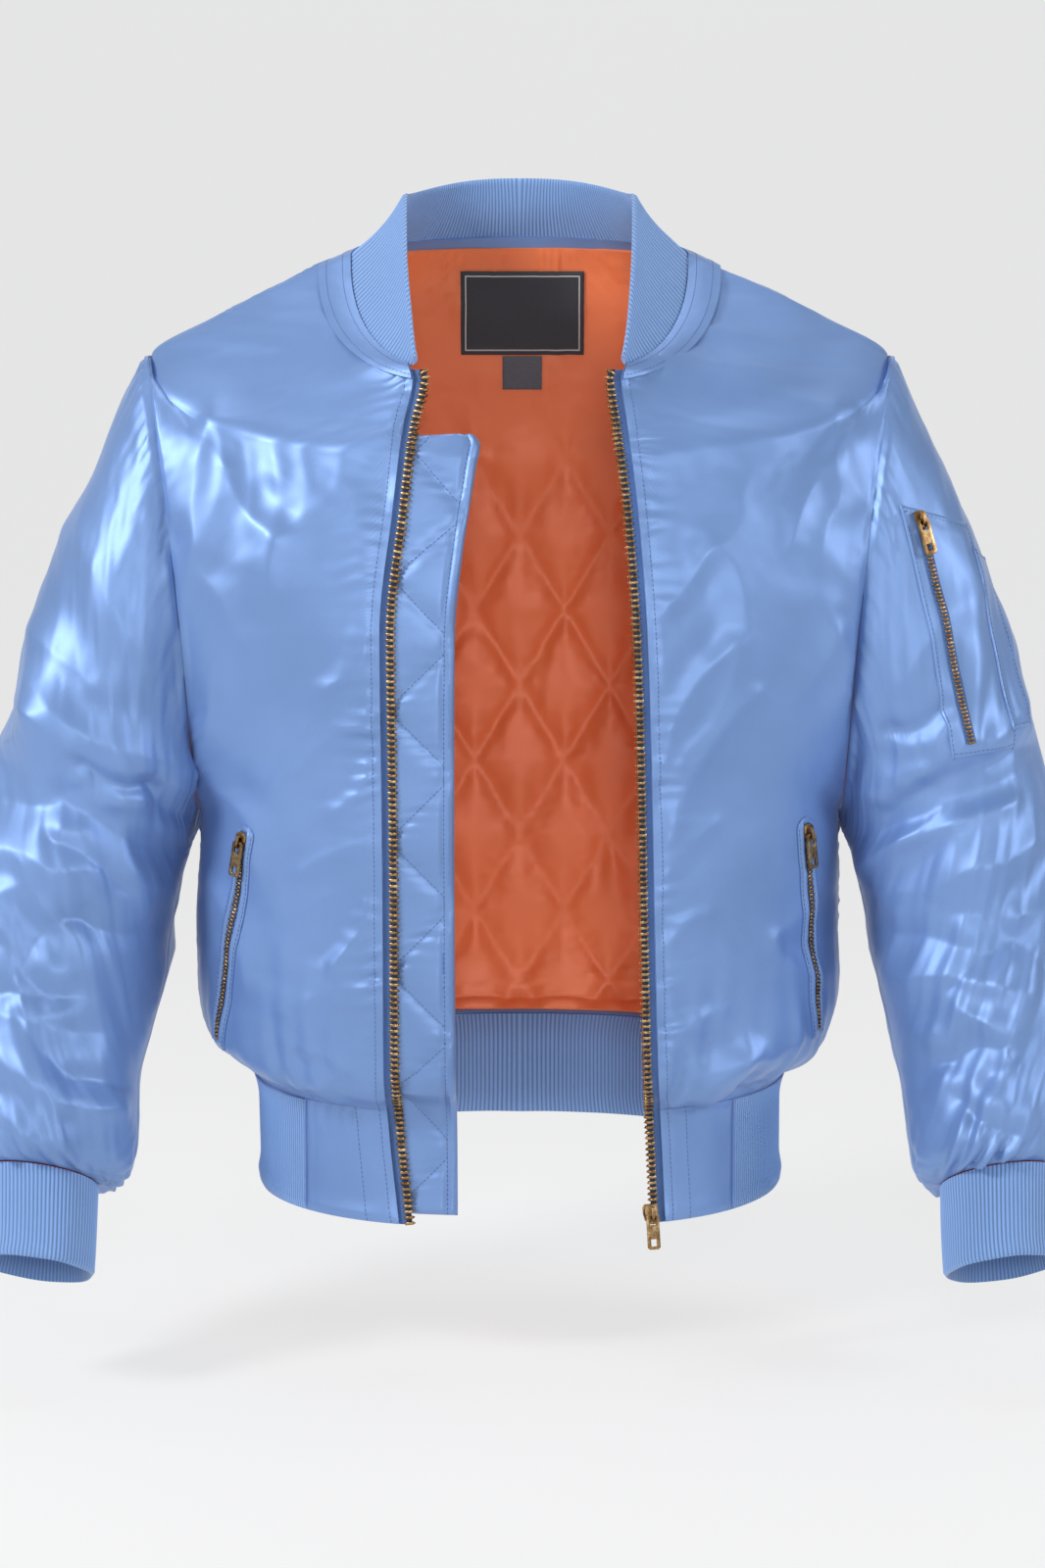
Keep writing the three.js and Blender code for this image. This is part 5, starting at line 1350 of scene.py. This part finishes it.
sleeve_guide = np.array([-math.sin(math.radians(SLEEVE_YAW)), math.cos(math.radians(SLEEVE_YAW)), 0]) * 400
trees = [sleeve_trees["left"]]
for name, shape, node, seed, columns in (
    ("sleeve_pocket_patch", PATCH, "sleeve_pocket", 171, 49),
    ("pen_pocket_patch", PEN, "pen_pocket", 173, 25),
):
    base = patch_points(shape["corners"], trees, 97, columns)
    out = normals(base, base.mean((0, 1)) + sleeve_guide)
    across, along = spans(base)
    edge = from_edges(across, along)
    rise = 0.45 + shape["thick"] * smooth(edge, -0.6, 1.6) + 0.5 * smooth(edge, 4, 12)
    rise = rise + groove(edge - 3, 0.35, 0.9)
    rise = rise + smooth(edge, 2, 10) * 0.7 * noise(across / 16, along / 24, seed)
    outer = base + out * rise[..., None]
    patch = wall(name, outer, base + out * 0.1, satin, coarse=4)
    join_body(patch, [node])
    sewn(base)
    thread_lines += ring_lines(outer, out, 2)
    trees = [*trees, tree_of(outer)]
short_zip("sleeve_zip", SLEEVE_YAW, trees, (SLEEVE_ZIP["top_x"], SLEEVE_ZIP["top_z"]),
          (SLEEVE_ZIP["end_x"], SLEEVE_ZIP["end_z"]), "zip_sleeve")

# Sliders and pull tabs
# Cast brass: each slider stands where the photo has it and carries a tab on its bridge, with softly rounded
# edges.
SLIDER_BEVEL = 0.28
for node in ("slider_main", "slider_pocket_right", "slider_pocket_left", "slider_sleeve",
             "pull_main", "pull_pocket_right", "pull_pocket_left", "pull_sleeve"):
    work = bmesh.new()
    work.from_mesh(frame["nodes"][node].data)
    bmesh.ops.remove_doubles(work, verts=work.verts, dist=1e-6)
    bmesh.ops.dissolve_limit(work, angle_limit=math.radians(2), verts=work.verts, edges=work.edges)
    sharp = [edge for edge in work.edges if edge.is_manifold and edge.calc_face_angle() > math.radians(25)]
    bmesh.ops.bevel(work, geom=sharp, offset=SLIDER_BEVEL * MM, segments=2, profile=0.6, affect="EDGES",
                    clamp_overlap=True)
    mesh = bpy.data.meshes.new(f"{node}_brass")
    work.to_mesh(mesh)
    work.free()
    mesh.materials.append(brass.material)
    mesh.shade_smooth()
    mesh.set_sharp_from_angle(angle=math.radians(40))
    metal = bpy.data.objects.new(f"{node}_brass", mesh)
    scene.collection.objects.link(metal)
    body = next(name for name, members in frame["record"]["behaviour"]["bodies"].items() if node in members)
    join_body(metal, [node], body)

# Neck label and size tag
# A charcoal woven label with a thin pale border, and a small grey tag under its lower edge, both bare.
LABEL = {"x": 2, "z": -38, "width": 90, "height": 60, "lift": 1.0, "thick": 0.8}
TAG = {"x": 2, "z": -81, "width": 29, "height": 24, "lift": 1.4, "thick": 0.7}


def label_finish(name, ground, border, width, height):
    """Damask weave, with a border a few millimetres in where there is one."""
    finish = Finish(name, Roughness=0.62, Specular_IOR_Level=0.4, Sheen_Weight=0.2)
    across, along = finish.cloth()
    weave = ((across + along * 0.5) * (2 * math.pi / 0.9)).wave() * 0.5 + finish.noise(1300, 2) * 0.5
    pale = tuple(1.5 * part + 0.004 for part in ground)
    deep = tuple(0.62 * part for part in ground)
    stops = [(0.25, deep), (0.5, ground), (0.8, pale)]
    if border:
        from_edge = (width / 2 - across.size()).least(height / 2 - (along - height / 2).size())
        line = (from_edge - 3.4).size() - 0.42
        on_line = 1 - line.above(0)
        stops = [(0.1, deep), (0.3, ground), (0.48, pale), (0.75, border)]
        finish.colours((weave * 0.5).most(on_line), stops)
    else:
        finish.colours(weave, stops)
    finish.varies("Roughness", weave * 0.2 + 0.5)
    finish.bump(weave, 0.07, 0.5)
    return finish


CHARCOAL = (0.040, 0.044, 0.054)
BORDER = (0.62, 0.62, 0.60)
GREY = (0.105, 0.120, 0.140)
charcoal = label_finish("label_charcoal", CHARCOAL, BORDER, LABEL["width"], LABEL["height"])
grey = label_finish("tag_grey", GREY, None, TAG["width"], TAG["height"])
trees = [tree_of(inner_sheet)]
for name, shape, finish, node, slot, rows, columns in (
    ("neck_label_woven", LABEL, charcoal, "neck_label", "label", 41, 61),
    ("size_tag_woven", TAG, grey, "size_tag", "tag", 25, 25),
):
    x = shape["x"] + np.linspace(-0.5, 0.5, columns)[None, :] * shape["width"]
    z = shape["z"] + np.linspace(0.5, -0.5, rows)[:, None] * shape["height"]
    base = softened(seen_from(0, trees, x, z, 60), 60)
    out = normals(base, base.mean((0, 1)) + np.array([0, 400, 0]))
    across = x - shape["x"] + 0 * z
    along = shape["z"] + shape["height"] / 2 - z + 0 * x
    edge = np.minimum(shape["width"] / 2 - np.abs(across), np.minimum(along, shape["height"] - along))
    lift = shape["lift"] + 0.6 * noise(across / 22, along / 18, 181) * smooth(edge, 0, 8)
    outer = base + out * (lift + shape["thick"] * smooth(edge, -0.5, 0.8))[..., None]
    label = wall(name, outer, base + out * (lift - 0.2)[..., None], finish, uv=(across, along), coarse=4)
    join_body(label, [node])
    sewn(base)
    trees = [tree_of(outer), *trees]

# Topstitching
# Thread in the satin's own blue, a shade deeper, in short stitches along the zip edges, binding, flap, welts,
# patches and hem ends.
STITCH = {"pitch": 3.3, "long": 2.3, "wide": 0.55, "thick": 0.5, "lift": 0.05, "bevel": 0.2}


def thread_finish():
    finish = Finish("thread_blue", Roughness=0.55, Sheen_Weight=0.3)
    twist = finish.noise(1500, 2)
    finish.colours(twist, [(0.3, (0.045, 0.095, 0.26)), (0.7, (0.085, 0.165, 0.40))])
    finish.varies("Roughness", twist * 0.2 + 0.45)
    finish.bump(twist, 0.05, 0.5)
    return finish


half = (STITCH["long"] / 2, STITCH["wide"] / 2, STITCH["thick"] / 2)
stitch = blocks("stitch", [(tuple(-part for part in half), half)], STITCH["bevel"])
placed = [along_line(points, ups, STITCH["pitch"], 1.5) for points, ups in thread_lines]
at, forward, up = (np.concatenate([line[part] for line in placed]) for part in range(3))
thread = repeated("topstitching", stitch, at + up * STITCH["lift"], forward, np.cross(up, forward),
                  thread_finish())
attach(thread, ROOT)

size_boxes = {"cad": cad_box, "visual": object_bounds()}
for kind, box in size_boxes.items():
    size_boxes[kind] = [[float(part) for part in corner] for corner in box]
